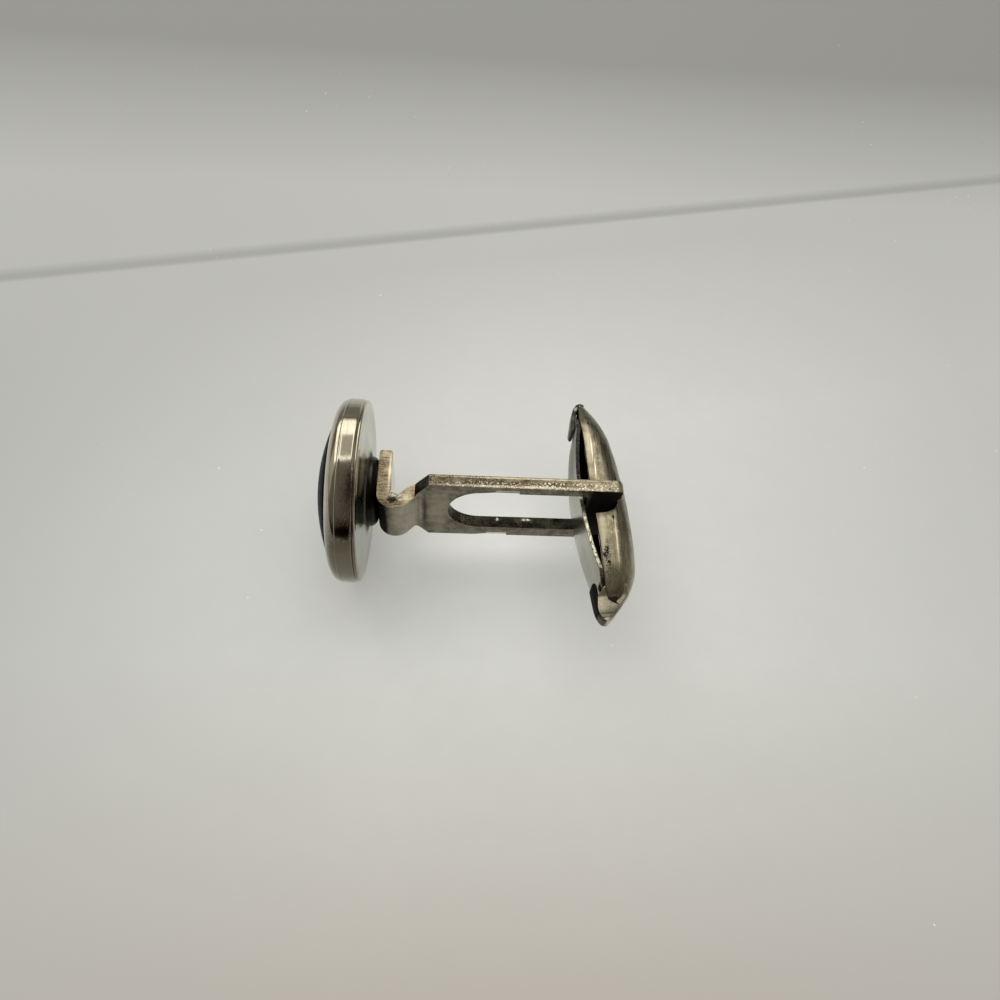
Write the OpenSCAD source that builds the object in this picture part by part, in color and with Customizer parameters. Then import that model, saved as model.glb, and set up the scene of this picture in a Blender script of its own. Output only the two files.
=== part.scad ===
// Cufflink: a domed stone in a round bezel, a forked post and a swinging toggle bar
// with a leaf spring.
// X runs along the post, away from the head.
// Y runs up the toggle and through the thickness of the strap.
// Z runs along the pivot and across the width of the strap.
// The origin lies where the middle plane of the post meets the face of the boss.

/* [Head] */
// Diameter of the head over its two raised lines
head_d = 14; // [12:0.1:18]
// Height of the head's axis over the middle plane of the post
head_rise = 1.05; // [0:0.05:1.4]
// Thickness of the back plate
back_t = 0.8; // [0.6:0.05:1.2]
// Thickness of the flange round the back plate
flange_t = 0.35; // [0.2:0.05:0.5]
// Radius of the flange's rounded edge
flange_edge_r = 0.15; // [0.05:0.01:0.17]
// Height of the low cone in the middle of the back plate
cone_h = 0.25; // [0.1:0.05:0.4]
// Diameter of the low cone where it leaves the flat back
cone_d = 9; // [7:0.1:9.5]
// Wall of the bezel round the back plate
bezel_wall = 0.8; // [0.5:0.05:1]
// Width of the flat band round the bezel
band_w = 1.1; // [0.6:0.05:1.6]
// Width of the raised line beside the band
line_w = 0.2; // [0.1:0.02:0.4]
// Height of the raised line above the band
line_h = 0.07; // [0.03:0.01:0.15]
// Radius of the bezel's rounded front shoulder
shoulder_r = 1.6; // [1.2:0.05:2]
// Height of the rounded front shoulder over the raised line
shoulder_h = 0.85; // [0.7:0.05:1.1]
// Width of the lip that the bezel turns in over the stone
lip_w = 0.45; // [0.3:0.05:0.8]

/* [Stone] */
// Distance from the stone's edge to the outside of the head
rim_w = 1.5; // [1.3:0.05:2.5]
// Height of the stone's straight edge
girdle_h = 0.7; // [0.4:0.05:1]
// Height of the stone's dome over its straight edge
dome_h = 1.6; // [1:0.05:3]
// Thickness of the cement bed under the stone
bed_t = 0.4; // [0.2:0.05:0.8]

/* [Boss] */
// Diameter of the boss between the head and the post
boss_d = 5.4; // [5:0.1:7]
// Thickness of the boss
boss_t = 0.7; // [0.6:0.05:2]
// Radius of the boss's rounded edge
boss_edge_r = 0.3; // [0.1:0.05:0.5]

/* [Post] */
// Thickness of the strap
strap_t = 1; // [0.8:0.05:1.2]
// Width of the fork
fork_w = 7; // [6.6:0.1:9]
// Width of the strap at the foot
foot_w = 4.2; // [3.4:0.1:5]
// Height of the foot's top over the middle plane of the post
foot_top = 3.55; // [3:0.05:4.5]
// Inside radius of the bend under the foot
bend_r = 0.3; // [0.2:0.05:0.6]
// Depth of the bend's lowest point under the middle plane of the post
bend_drop = 1.65; // [1.5:0.05:2.2]
// Slope of the strap where it rises to the fork, in degrees
rise_angle = 45; // [38:1:55]
// Inside radius of the upper bend
crease_r = 0.4; // [0.2:0.05:0.8]
// Distance from the boss to where the strap starts to widen
flare_start = 2.8; // [2.6:0.05:3]
// Distance from the boss to where the strap reaches the width of the fork
flare_end = 3.85; // [3.5:0.05:4.2]
// Distance from the boss to the outer end of the fork
post_len = 18.1; // [16.5:0.1:20]
// Distance from the boss to the start of the slot
slot_start = 5.3; // [4.6:0.1:5.6]
// Width of the fork's upper arm
upper_arm_w = 0.8; // [0.7:0.05:1.2]
// Width of the fork's lower arm
lower_arm_w = 1.2; // [1:0.05:1.4]
// Length along the post of the bar that closes the fork
bar_len = 2.5; // [2.2:0.05:2.6]
// Radius of the rounded edges of the strap's ends and of the bar
edge_r = 0.34; // [0.2:0.02:0.4]
// Radius of the fork's outer corners, seen from above
corner_r = 0.5; // [0.2:0.05:0.8]

/* [Toggle] */
// Width of the toggle
toggle_w = 3.9; // [3.6:0.05:4]
// Length of the toggle
toggle_len = 19.9; // [19:0.1:20.4]
// Distance of the toggle's middle above the pivot
toggle_shift = 0.4; // [0:0.05:0.6]
// Angle by which the toggle stands off square, in degrees
toggle_lean = 2.4; // [-3:0.1:3]
// Thickness of the toggle's sheet
sheet_t = 0.38; // [0.3:0.02:0.45]
// Depth of the toggle from its open rim to its back
toggle_depth = 3.05; // [2.9:0.05:3.2]
// Distance from the pivot to the toggle's back
pivot_to_back = 2.38; // [2.3:0.02:2.6]
// Radius of the long curve down the toggle's back
back_r = 31; // [28:1:36]
// Distance of the deepest point of the back below the pivot
back_drop = 1.5; // [1:0.1:2]
// Radius of the rounding that cuts the back at the lower end
lower_end_r = 4.3; // [4.2:0.05:4.5]
// Distance of the lower rounding's centre in front of the pivot
lower_end_x = 2.15; // [2.1:0.05:2.4]
// Radius of the curve that narrows the toggle's sides towards both ends
taper_r = 21.7; // [19:0.1:24]
// Radius of the toggle's rounded ends, seen from the head
nose_r = 0.6; // [0.5:0.05:0.8]
// Radius of the rounded corners where the notch meets the rim
notch_corner_r = 0.4; // [0.2:0.05:0.6]
// Width of both folded lips at the toggle's tips
lip_tip_w = 0.9; // [0.7:0.05:1.1]
// Distance from the toggle's upper tip to the upper folded lip's free edge
upper_lip_reach = 3.15; // [2.9:0.05:3.4]
// Width of the upper folded lip at its free edge
upper_lip_w = 1.6; // [1.2:0.1:2.2]
// Length of the flat part of the upper folded lip
upper_lip_len = 1.2; // [1:0.1:1.5]
// Angle at which the upper folded lip leans in, in degrees
upper_lip_lean = 12; // [10:1:14]
// Radius of the curl that joins the upper folded lip to the tip
upper_curl_r = 3.5; // [3:0.1:4]
// Distance from the toggle's lower tip to the lower folded lip's free edge
lower_lip_reach = 3.5; // [3.3:0.05:3.7]
// Width of the lower folded lip at its free edge
lower_lip_w = 2.6; // [2.2:0.1:3.2]
// Length of the flat part of the lower folded lip
lower_lip_len = 2.3; // [2:0.1:2.5]
// Angle at which the lower folded lip leans in, in degrees
lower_lip_lean = 4; // [2:1:6]
// Radius of the curl that joins the lower folded lip to the tip
lower_curl_r = 1.6; // [1.4:0.1:1.9]

/* [Leaf spring] */
// Thickness of the leaf spring
leaf_t = 0.32; // [0.25:0.01:0.4]
// Distance from the toggle's ends to the leaf spring's ends, along the toggle
leaf_end_gap = 2.45; // [2.2:0.05:2.6]
// Distance of the leaf spring's middle above the pivot
leaf_shift = 0.9; // [0.7:0.05:1.1]
// Length of the narrow tongue at each end of the leaf spring
tongue_len = 1.6; // [1.4:0.1:2]
// Rise of the leaf spring's bow from its ends to its middle
leaf_bow = 0.94; // [0.88:0.02:1.04]

/* [Fits] */
// Gap between the toggle and the fork's lower arm, on which it rides
side_gap = 0.35; // [0.25:0.01:0.4]
// Gap between the bar of the fork and what turns round it
turn_gap = 0.07; // [0.05:0.01:0.1]
// Gap between the leaf spring and the folded lips
fold_gap = 0.03; // [0.02:0.01:0.05]
// Gap between the leaf spring's narrow tongues and the toggle's walls
tongue_gap = 0.1; // [0.05:0.01:0.2]
// Gap round the stone and the back plate's step in the bezel
setting_gap = 0.04; // [0.02:0.01:0.08]

/* [Hidden] */
$fn = 96;

// Length by which cuts run past the faces that they open
overrun = 1;
// Length by which shapes that run on into each other overlap
weld = 0.01;

// Places of the head's pieces, measured from the boss towards the front
flange_z = cone_h;
band_z = flange_z + flange_t;
line_z = band_z + band_w;
shoulder_z = line_z + line_w;
step_z = cone_h + back_t;
stone_z = step_z + bed_t;
dome_z = stone_z + girdle_h;
band_r = head_d / 2 - line_h;
step_r = head_d / 2 - bezel_wall - setting_gap;
stone_r = head_d / 2 - rim_w;
dome_r = (pow(stone_r, 2) + pow(dome_h, 2)) / (2 * dome_h);

// Places along the strap's bends
bend_out_r = bend_r + strap_t;
bend_mid_r = bend_r + strap_t / 2;
crease_mid_r = crease_r + strap_t / 2;
bend_x = bend_out_r;
bend_y = bend_out_r - bend_drop;
rise_len = (bend_mid_r * cos(rise_angle) - bend_y - crease_mid_r * (1 - cos(rise_angle))) / sin(rise_angle);
crease_x = bend_x + (bend_mid_r + crease_mid_r) * sin(rise_angle) + rise_len * cos(rise_angle);
slot_w = fork_w - upper_arm_w - lower_arm_w;
slot_z = (lower_arm_w - upper_arm_w) / 2;
slot_end = post_len - bar_len;
pivot_x = post_len - bar_len / 2;
bar_reach = norm([bar_len / 2 - edge_r, strap_t / 2 - edge_r]) + edge_r;

// Places in the toggle, measured from the pivot
toggle_z = side_gap + lower_arm_w + (toggle_w - fork_w) / 2;
rim_x = pivot_to_back - toggle_depth;
upper_tip_y = toggle_len / 2 + toggle_shift;
lower_tip_y = toggle_len / 2 - toggle_shift;
tube_r = toggle_w / 2;
half_turn = asin((toggle_len / 2 + back_drop + overrun) / back_r);
nose_y = toggle_len / 2 - nose_r;
taper_z = sqrt(pow(taper_r - nose_r, 2) - pow(nose_y, 2));
notch_r = bar_reach + turn_gap;
leaf_back_x = -bar_reach - turn_gap;
leaf_front_x = leaf_back_x - leaf_t;
leaf_len = toggle_len - 2 * leaf_end_gap;
leaf_r = (pow(leaf_len / 2, 2) + pow(leaf_bow, 2)) / (2 * leaf_bow);
leaf_centre_x = leaf_front_x + leaf_r;
leaf_bottom_y = leaf_shift - leaf_len / 2;

// Turns a piece of the head, drawn upright, to face away from the post
module place_head() {
    translate([-boss_t, head_rise, 0])
        rotate([0, -90, 0])
            children();
}

// Puts a piece of the toggle at the pivot, at the angle where it stands
module place_toggle() {
    translate([pivot_x, 0, toggle_z])
        rotate([0, 0, toggle_lean])
            children();
}

// Rectangle from the origin with all four corners rounded
module rounded_rect(size_x, size_y, r) {
    translate([r, 0])
        square([size_x - 2 * r, size_y]);
    translate([0, r])
        square([size_x, size_y - 2 * r]);
    for (x = [r, size_x - r], y = [r, size_y - r])
        translate([x, y])
            circle(r);
}

// Sector of a flat ring between two angles less than half a turn apart
module ring_sector(inner_r, outer_r, from_angle, to_angle) {
    middle_angle = (from_angle + to_angle) / 2;
    reach = 2 * outer_r;
    intersection() {
        difference() {
            circle(outer_r);
            circle(inner_r);
        }
        polygon([
            [0, 0],
            [reach * cos(from_angle), reach * sin(from_angle)],
            [reach * cos(middle_angle), reach * sin(middle_angle)],
            [reach * cos(to_angle), reach * sin(to_angle)],
        ]);
    }
}

module back_plate() {
    color("silver")
    place_head()
    rotate_extrude() {
        polygon([
            [0, 0],
            [boss_d / 2, 0],
            [cone_d / 2, cone_h],
            [0, cone_h],
        ]);
        translate([0, flange_z])
            square([head_d / 2 - flange_edge_r, flange_t]);
        translate([0, flange_z + flange_edge_r])
            square([head_d / 2, flange_t - 2 * flange_edge_r]);
        for (z = [flange_z + flange_edge_r, band_z - flange_edge_r])
            translate([head_d / 2 - flange_edge_r, z])
                circle(flange_edge_r);
        translate([0, flange_z])
            square([step_r, back_t]);
    }
}

// Half section of the stone, swollen on every side by a gap
module stone_section(gap) {
    translate([0, stone_z - gap])
        square([stone_r + gap, girdle_h + gap]);
    intersection() {
        translate([0, dome_z + dome_h - dome_r])
            circle(dome_r + gap);
        translate([0, dome_z])
            square([stone_r + gap, dome_h + gap]);
    }
}

module bezel() {
    color("gainsboro")
    place_head()
    rotate_extrude()
    difference() {
        union() {
            translate([0, band_z])
                square([band_r, band_w + line_w]);
            translate([head_d / 2 - line_w / 2, line_z + line_w / 2])
                circle(line_w / 2);
            intersection() {
                translate([band_r - shoulder_r, shoulder_z + shoulder_h - shoulder_r])
                    circle(shoulder_r);
                translate([0, shoulder_z])
                    square([band_r, shoulder_h]);
            }
            translate([0, shoulder_z])
                square([band_r - shoulder_r, shoulder_h]);
        }
        translate([0, band_z - overrun])
            square([step_r + setting_gap, step_z - band_z + overrun]);
        translate([0, step_z - overrun])
            square([stone_r + setting_gap, bed_t + overrun]);
        stone_section(setting_gap);
        translate([0, dome_z])
            square([stone_r - lip_w, shoulder_h + dome_h]);
    }
}

module stone_bed() {
    color("dimgray")
    place_head()
    translate([0, 0, step_z])
        cylinder(h = bed_t, r = stone_r);
}

module stone() {
    color("midnightblue")
    place_head()
    rotate_extrude()
        stone_section(0);
}

module boss() {
    color("dimgray")
    place_head()
    rotate_extrude() {
        translate([0, boss_edge_r - boss_t])
            square([boss_d / 2, boss_t - boss_edge_r]);
        translate([0, -boss_t])
            square([boss_d / 2 - boss_edge_r, boss_t]);
        translate([boss_d / 2 - boss_edge_r, boss_edge_r - boss_t])
            circle(boss_edge_r);
    }
}

// Side view of the bent strap, from the foot to the end of the fork
module strap_side() {
    translate([0, bend_y - weld])
        square([strap_t, foot_top - bend_y - edge_r]);
    translate([0, foot_top - strap_t])
        rounded_rect(strap_t, strap_t, edge_r);
    translate([bend_x, bend_y]) {
        ring_sector(bend_r, bend_out_r, 180, 270 + rise_angle);
        rotate(rise_angle)
            translate([-weld, -bend_out_r])
                square([rise_len + 2 * weld, strap_t]);
    }
    translate([crease_x, -strap_t / 2 - crease_r])
        ring_sector(crease_r, crease_r + strap_t, 90, 90 + rise_angle);
    translate([crease_x - weld, -strap_t / 2])
        square([post_len - crease_x - strap_t, strap_t]);
    translate([post_len - bar_len, -strap_t / 2])
        rounded_rect(bar_len, strap_t, edge_r);
}

// View of the strap from above: a narrow foot that flares out to the fork
module strap_top() {
    translate([0, -foot_w / 2])
        square([flare_end, foot_w]);
    polygon([
        [flare_start, -foot_w / 2],
        [flare_end, -fork_w / 2],
        [flare_end, fork_w / 2],
        [flare_start, foot_w / 2],
    ]);
    translate([flare_end - weld, -fork_w / 2])
        square([post_len - flare_end - corner_r, fork_w]);
    translate([post_len - bar_len, -fork_w / 2])
        rounded_rect(bar_len, fork_w, corner_r);
}

// The slot between the arms, round at the head end and square at the bar
module slot_top() {
    translate([slot_start + slot_w / 2, slot_z])
        circle(slot_w / 2);
    translate([slot_start + slot_w / 2, slot_z - slot_w / 2])
        square([slot_end + edge_r - slot_start - slot_w / 2, slot_w]);
}

module fork_post() {
    color("darkgray")
    union() {
        difference() {
            intersection() {
                translate([0, 0, -fork_w / 2])
                    linear_extrude(fork_w)
                        strap_side();
                translate([0, fork_w / 2, 0])
                    rotate([90, 0, 0])
                        linear_extrude(fork_w)
                            strap_top();
            }
            translate([0, strap_t / 2 + overrun, 0])
                rotate([90, 0, 0])
                    linear_extrude(strap_t + 2 * overrun)
                        slot_top();
        }
        translate([slot_end, -strap_t / 2, slot_z - slot_w / 2])
            linear_extrude(slot_w)
                rounded_rect(bar_len, strap_t, edge_r);
    }
}

// Bent half tube that the toggle's outside and inside are cut from, open towards the
// head and rounded off at its lower end
module toggle_tube(inset) {
    half_w = toggle_w / 2 - inset;
    tube_r = back_r - toggle_w / 2;
    intersection() {
        translate([pivot_to_back - back_r, -back_drop, 0])
            rotate([0, 0, -half_turn])
                rotate_extrude(angle = 2 * half_turn, $fn = 360) {
                    translate([tube_r, 0])
                        circle(half_w, $fn = 64);
                    translate([tube_r - toggle_depth, -half_w])
                        square([toggle_depth, 2 * half_w]);
                }
        translate([0, 0, -toggle_w])
            linear_extrude(2 * toggle_w) {
                translate([-lower_end_x, lower_end_r - lower_tip_y])
                    circle(lower_end_r - inset, $fn = 180);
                translate([-toggle_len, lower_end_r - lower_tip_y])
                    square([2 * toggle_len, 2 * toggle_len]);
            }
    }
}

// Outline of the toggle seen from the head: parallel sides that taper to round ends,
// as a block along X
module toggle_block(inset, from_x, to_x) {
    half_w = toggle_w / 2 - inset;
    half_y = nose_y * (taper_r - inset) / (taper_r - nose_r);
    translate([from_x, toggle_shift, 0])
        rotate([0, 90, 0])
            linear_extrude(to_x - from_x) {
                intersection() {
                    translate([-half_w, -half_y])
                        square([2 * half_w, 2 * half_y]);
                    translate([-taper_z, 0])
                        circle(taper_r - inset, $fn = 360);
                    translate([taper_z, 0])
                        circle(taper_r - inset, $fn = 360);
                }
                for (y = [-nose_y, nose_y])
                    translate([0, y])
                        circle(nose_r - inset);
            }
}

// A lip folded over one end of the leaf spring: a rounded free edge, a flat part that
// leans in towards the toggle's back and a curl that joins the tip
module folded_lip(tip_y, reach, side, width, lean, flat_len, curl_r) {
    free_y = tip_y - reach;
    leaf_x = leaf_centre_x - sqrt(pow(leaf_r, 2) - pow(free_y - side * leaf_shift, 2));
    translate([leaf_x - fold_gap - sheet_t, 0, 0])
        rotate([side < 0 ? 180 : 0, 0, 0])
            intersection() {
                translate([0, free_y, -width / 2])
                    rotate([0, 0, -lean])
                        linear_extrude(width) {
                            translate([sheet_t / 2, sheet_t / 2])
                                circle(sheet_t / 2);
                            translate([0, sheet_t / 2])
                                square([sheet_t, flat_len - sheet_t / 2 + weld]);
                            translate([curl_r, flat_len])
                                ring_sector(curl_r - sheet_t, curl_r, 90, 180);
                        }
                translate([-toggle_depth, 0, 0])
                    rotate([0, 90, 0])
                        linear_extrude(2 * toggle_depth)
                            polygon([
                                [-width / 2, free_y - sheet_t],
                                [width / 2, free_y - sheet_t],
                                [lip_tip_w / 2, tip_y],
                                [-lip_tip_w / 2, tip_y],
                            ]);
            }
}

// The two lips folded over the ends of the leaf spring
module folded_lips() {
    intersection() {
        union() {
            folded_lip(upper_tip_y, upper_lip_reach, 1, upper_lip_w, upper_lip_lean, upper_lip_len, upper_curl_r);
            folded_lip(lower_tip_y, lower_lip_reach, -1, lower_lip_w, lower_lip_lean, lower_lip_len, lower_curl_r);
        }
        toggle_tube(0);
    }
}

// Notch through both side walls, where the bar of the fork turns
module pivot_notch() {
    translate([0, 0, -toggle_w])
        linear_extrude(2 * toggle_w) {
            circle(notch_r);
            translate([rim_x - toggle_depth, -notch_r])
                square([toggle_depth - rim_x, 2 * notch_r]);
            difference() {
                translate([rim_x - overrun, -notch_r - notch_corner_r])
                    square([notch_corner_r + overrun, 2 * (notch_r + notch_corner_r)]);
                for (side = [-1, 1])
                    translate([rim_x + notch_corner_r, side * (notch_r + notch_corner_r)])
                        circle(notch_corner_r);
            }
        }
}

module toggle_shell() {
    color("darkkhaki")
    place_toggle() {
        difference() {
            intersection() {
                toggle_tube(0);
                toggle_block(0, rim_x, pivot_to_back + overrun);
            }
            intersection() {
                toggle_tube(sheet_t);
                toggle_block(sheet_t, rim_x - overrun, pivot_to_back);
            }
            pivot_notch();
        }
        folded_lips();
    }
}

module leaf_spring() {
    half_sweep = asin(leaf_len / leaf_r);
    color("lightgray")
    place_toggle()
    intersection() {
        translate([leaf_centre_x, leaf_shift, -toggle_w / 2])
            linear_extrude(toggle_w)
                ring_sector(leaf_r - leaf_t, leaf_r, 180 - half_sweep, 180 + half_sweep, $fn = 360);
        union() {
            intersection() {
                toggle_block(sheet_t + tongue_gap, leaf_front_x, toggle_depth);
                translate([leaf_front_x, leaf_bottom_y, -toggle_w / 2])
                    cube([toggle_depth, leaf_len, toggle_w]);
            }
            translate([leaf_front_x, leaf_bottom_y + tongue_len, -toggle_w / 2])
                cube([toggle_depth, leaf_len - 2 * tongue_len, toggle_w]);
        }
    }
}

back_plate();
bezel();
stone_bed();
stone();
boss();
fork_post();
toggle_shell();
leaf_spring();
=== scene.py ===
"""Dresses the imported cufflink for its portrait: head, forked post and swinging toggle.

Lengths in the classes are millimetres in the frame of the solids: X runs along the post
away from the head, Y up the toggle, Z across the strap. Meshes are made in metres.
"""
import logging
import math
from dataclasses import dataclass, field
from enum import Enum, IntEnum
from typing import Callable, Sequence

import bmesh
import bpy
from mathutils import Matrix, Vector, noise


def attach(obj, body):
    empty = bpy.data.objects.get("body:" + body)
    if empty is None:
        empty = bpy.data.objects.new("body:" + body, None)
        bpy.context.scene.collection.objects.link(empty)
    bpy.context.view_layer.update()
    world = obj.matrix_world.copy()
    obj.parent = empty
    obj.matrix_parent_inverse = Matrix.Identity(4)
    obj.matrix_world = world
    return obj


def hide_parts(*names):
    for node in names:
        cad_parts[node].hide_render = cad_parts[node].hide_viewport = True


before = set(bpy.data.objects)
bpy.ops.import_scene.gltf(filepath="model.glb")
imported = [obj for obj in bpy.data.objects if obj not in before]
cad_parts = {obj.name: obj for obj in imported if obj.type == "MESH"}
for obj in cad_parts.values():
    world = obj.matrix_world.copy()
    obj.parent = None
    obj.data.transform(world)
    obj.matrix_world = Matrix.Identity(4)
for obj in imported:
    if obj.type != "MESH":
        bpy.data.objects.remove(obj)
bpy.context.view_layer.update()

MM = 0.001
LOG = logging.getLogger("cufflink")

# Angles in degrees over which an edge stays sharp: on plain pieces, and on rounded ones.
PLAIN_SHARP = 32.0
ROUND_SHARP = 40.0

Material = bpy.types.Material
Mesh = bpy.types.Mesh
Object = bpy.types.Object
Socket = bpy.types.NodeSocket
Point2 = tuple[float, float]
Point3 = tuple[float, float, float]
Colour = tuple[float, float, float]
Shape = tuple[list[Vector], list[tuple[int, ...]]]
FaceKind = Callable[[Vector, Vector], int]


class Body(Enum):
    """The moving bodies of the cufflink."""

    HEAD = "head_and_post"
    TOGGLE = "toggle"


class Op(Enum):
    """Ways to combine two values in a material."""

    ADD = "ADD"
    SUBTRACT = "SUBTRACT"
    MULTIPLY = "MULTIPLY"
    MAXIMUM = "MAXIMUM"
    MINIMUM = "MINIMUM"


class PlateFace(IntEnum):
    """Finishes of the back plate, in the order of its materials."""

    BACK = 0
    FLANGE = 1


class StrapFace(IntEnum):
    """Finishes of the strap, in the order of its materials."""

    BROAD = 0
    SHEARED = 1
    PUNCHED = 2
    WORN_AND_SHEEN = 3
    COINED = 4
    FOOT = 5


class ShellFace(IntEnum):
    """Finishes of the toggle's sheet, in the order of its materials."""

    BACK = 0
    SIDE = 1
    INSIDE = 2


class FoldFace(IntEnum):
    """Finishes of a fold, in the order of its materials."""

    OUTSIDE = 0
    TOWARD_HEAD = 1


class LeafFace(IntEnum):
    """Finishes of the leaf spring, in the order of its materials."""

    BROAD = 0
    EDGE = 1


# ---------------------------------------------------------------- small geometry helpers


def arc(centre: Point2, radius: float, start: float, end: float, steps: int) -> list[Point2]:
    """Points along an arc.

    Args:
        centre: Centre of the arc.
        radius: Radius of the arc.
        start: First angle in degrees.
        end: Last angle in degrees.
        steps: Number of spans between the points.

    Returns:
        The points, both ends included.
    """
    angles = [math.radians(start + (end - start) * i / steps) for i in range(steps + 1)]
    return [(centre[0] + radius * math.cos(a), centre[1] + radius * math.sin(a)) for a in angles]


def filleted(corners: Sequence[Point3], closed: bool, steps: int = 5) -> list[Point2]:
    """Rounds the corners of a polyline.

    Args:
        corners: Corner points, each with the distance at which its rounding starts.
        closed: Whether the last corner joins the first.
        steps: Spans in each rounding.

    Returns:
        The rounded polyline.
    """
    count = len(corners)
    out: list[Point2] = []
    for i, (x, y, cut) in enumerate(corners):
        here = Vector((x, y))
        if cut <= 0 or (not closed and i in (0, count - 1)):
            out.append((x, y))
            continue
        before = Vector(corners[i - 1][:2])
        after = Vector(corners[(i + 1) % count][:2])
        first = here + (before - here).normalized() * min(cut, (before - here).length * 0.49)
        last = here + (after - here).normalized() * min(cut, (after - here).length * 0.49)
        for k in range(steps + 1):
            t = k / steps
            p = first * (1 - t) ** 2 + here * (2 * t * (1 - t)) + last * t**2
            out.append((p.x, p.y))
    return out


def strip_ring(near: Point3, far: Point3, steps: int) -> list[Point2]:
    """Closed section of a strip, wide across, with rounded corners.

    Args:
        near: Place of the near face, its half width and the rounding of its corners.
        far: The same for the far face.
        steps: Spans in each rounding.

    Returns:
        Points of the section: place through the strip, place across it.
    """
    corners = [(near[0], -near[1], near[2]), (far[0], -far[1], far[2]), far, near]
    return filleted(corners, closed=True, steps=steps)


def lathe(profile: Sequence[Point2], closed: bool, segments: int = 288) -> Shape:
    """Turns a profile of (radius, height) points about the local Z axis.

    Args:
        profile: Points of the profile; an end on the axis becomes a single point.
        closed: Whether the profile is a closed loop.
        segments: Number of segments round the axis.

    Returns:
        Vertices and faces.
    """
    points: list[Vector] = []
    rings: list[list[int]] = []
    for radius, height in profile:
        start = len(points)
        if radius < 1e-6:
            points.append(Vector((0, 0, height)))
        else:
            circle = arc((0, 0), radius, 0, 360, segments)[:-1]
            points += [Vector((x, y, height)) for x, y in circle]
        rings.append(list(range(start, len(points))))
    faces: list[tuple[int, ...]] = []
    pairs = list(zip(rings, rings[1:])) + ([(rings[-1], rings[0])] if closed else [])
    for low, high in pairs:
        for k in range(segments):
            m = (k + 1) % segments
            if len(low) == 1 and len(high) == 1:
                continue
            if len(low) == 1:
                faces.append((low[0], high[m], high[k]))
            elif len(high) == 1:
                faces.append((low[k], low[m], high[0]))
            else:
                faces.append((low[k], low[m], high[m], high[k]))
    return points, faces


def loft(rows: Sequence[Sequence[Vector]]) -> Shape:
    """Skins closed sections of equal length, and caps both ends.

    Args:
        rows: The sections, each a closed loop of points.

    Returns:
        Vertices and faces of the closed body.
    """
    n = len(rows[0])
    points = [p for row in rows for p in row]
    faces: list[tuple[int, ...]] = []
    for i in range(len(rows) - 1):
        for k in range(n):
            m = (k + 1) % n
            faces.append((i * n + k, i * n + m, (i + 1) * n + m, (i + 1) * n + k))
    last = (len(rows) - 1) * n
    faces.append(tuple(reversed(range(n))))
    faces.append(tuple(range(last, last + n)))
    return points, faces


def smooth_step(low: float, high: float, value: float) -> float:
    """Rises smoothly from 0 at low to 1 at high."""
    t = min(1.0, max(0.0, (value - low) / (high - low)))
    return t * t * (3 - 2 * t)


def along(table: Sequence[Point2], at: float) -> float:
    """Reads a smooth curve through a table of (place, value) points, by Catmull-Rom.

    Args:
        table: Points in rising order of place.
        at: The place to read.

    Returns:
        The value there.
    """
    if at <= table[0][0]:
        return table[0][1]
    if at >= table[-1][0]:
        return table[-1][1]
    i = max(k for k in range(len(table) - 1) if table[k][0] <= at)
    p = [table[max(0, min(len(table) - 1, k))] for k in (i - 1, i, i + 1, i + 2)]
    span = p[2][0] - p[1][0]
    t = (at - p[1][0]) / span
    rise_a = (p[2][1] - p[0][1]) / max(p[2][0] - p[0][0], 1e-6) * span
    rise_b = (p[3][1] - p[1][1]) / max(p[3][0] - p[1][0], 1e-6) * span
    return (
        (2 * t**3 - 3 * t**2 + 1) * p[1][1]
        + (t**3 - 2 * t**2 + t) * rise_a
        + (3 * t**2 - 2 * t**3) * p[2][1]
        + (t**3 - t**2) * rise_b
    )


def add_object(name: str, data: bpy.types.ID) -> Object:
    """Puts new data into the scene.

    Args:
        name: Name of the object.
        data: Its mesh, camera or lamp.

    Returns:
        The new object.
    """
    obj = bpy.data.objects.new(name, data)
    bpy.context.scene.collection.objects.link(obj)
    return obj


def rework(mesh: Mesh, change: Callable[[bmesh.types.BMesh], object]) -> None:
    """Changes a mesh's points and faces.

    Args:
        mesh: The mesh.
        change: Makes the change in the opened mesh.
    """
    work = bmesh.new()
    work.from_mesh(mesh)
    change(work)
    work.to_mesh(mesh)
    work.free()


def mesh_object(name: str, shape: Shape, place: Matrix, sharp: float = PLAIN_SHARP) -> Object:
    """Makes a smooth-shaded mesh object at the origin from points in millimetres.

    Args:
        name: Name of the piece.
        shape: Vertices and faces.
        place: Turns the shape's own millimetres into the frame's millimetres.
        sharp: Angle in degrees over which an edge stays sharp.

    Returns:
        The new object, its place in its mesh.
    """
    mesh = bpy.data.meshes.new(name)
    mesh.from_pydata([tuple((place @ p) * MM) for p in shape[0]], [], shape[1])
    rework(mesh, lambda work: bmesh.ops.recalc_face_normals(work, faces=work.faces))
    shade(mesh, sharp)
    return add_object(name, mesh)


def shade(mesh: Mesh, sharp: float) -> None:
    """Shades a mesh smooth, with edges over an angle in degrees kept sharp."""
    mesh.shade_smooth()
    mesh.set_sharp_from_angle(angle=math.radians(sharp))


def settle(obj: Object, sharp: float) -> None:
    """Applies an object's modifiers to its mesh and shades it again.

    Args:
        obj: The object.
        sharp: Angle in degrees over which an edge stays sharp.
    """
    depsgraph = bpy.context.evaluated_depsgraph_get()
    done = bpy.data.meshes.new_from_object(obj.evaluated_get(depsgraph))
    obj.modifiers.clear()
    old, obj.data = obj.data, done
    done.name = obj.name
    bpy.data.meshes.remove(old)
    shade(done, sharp)


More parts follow.
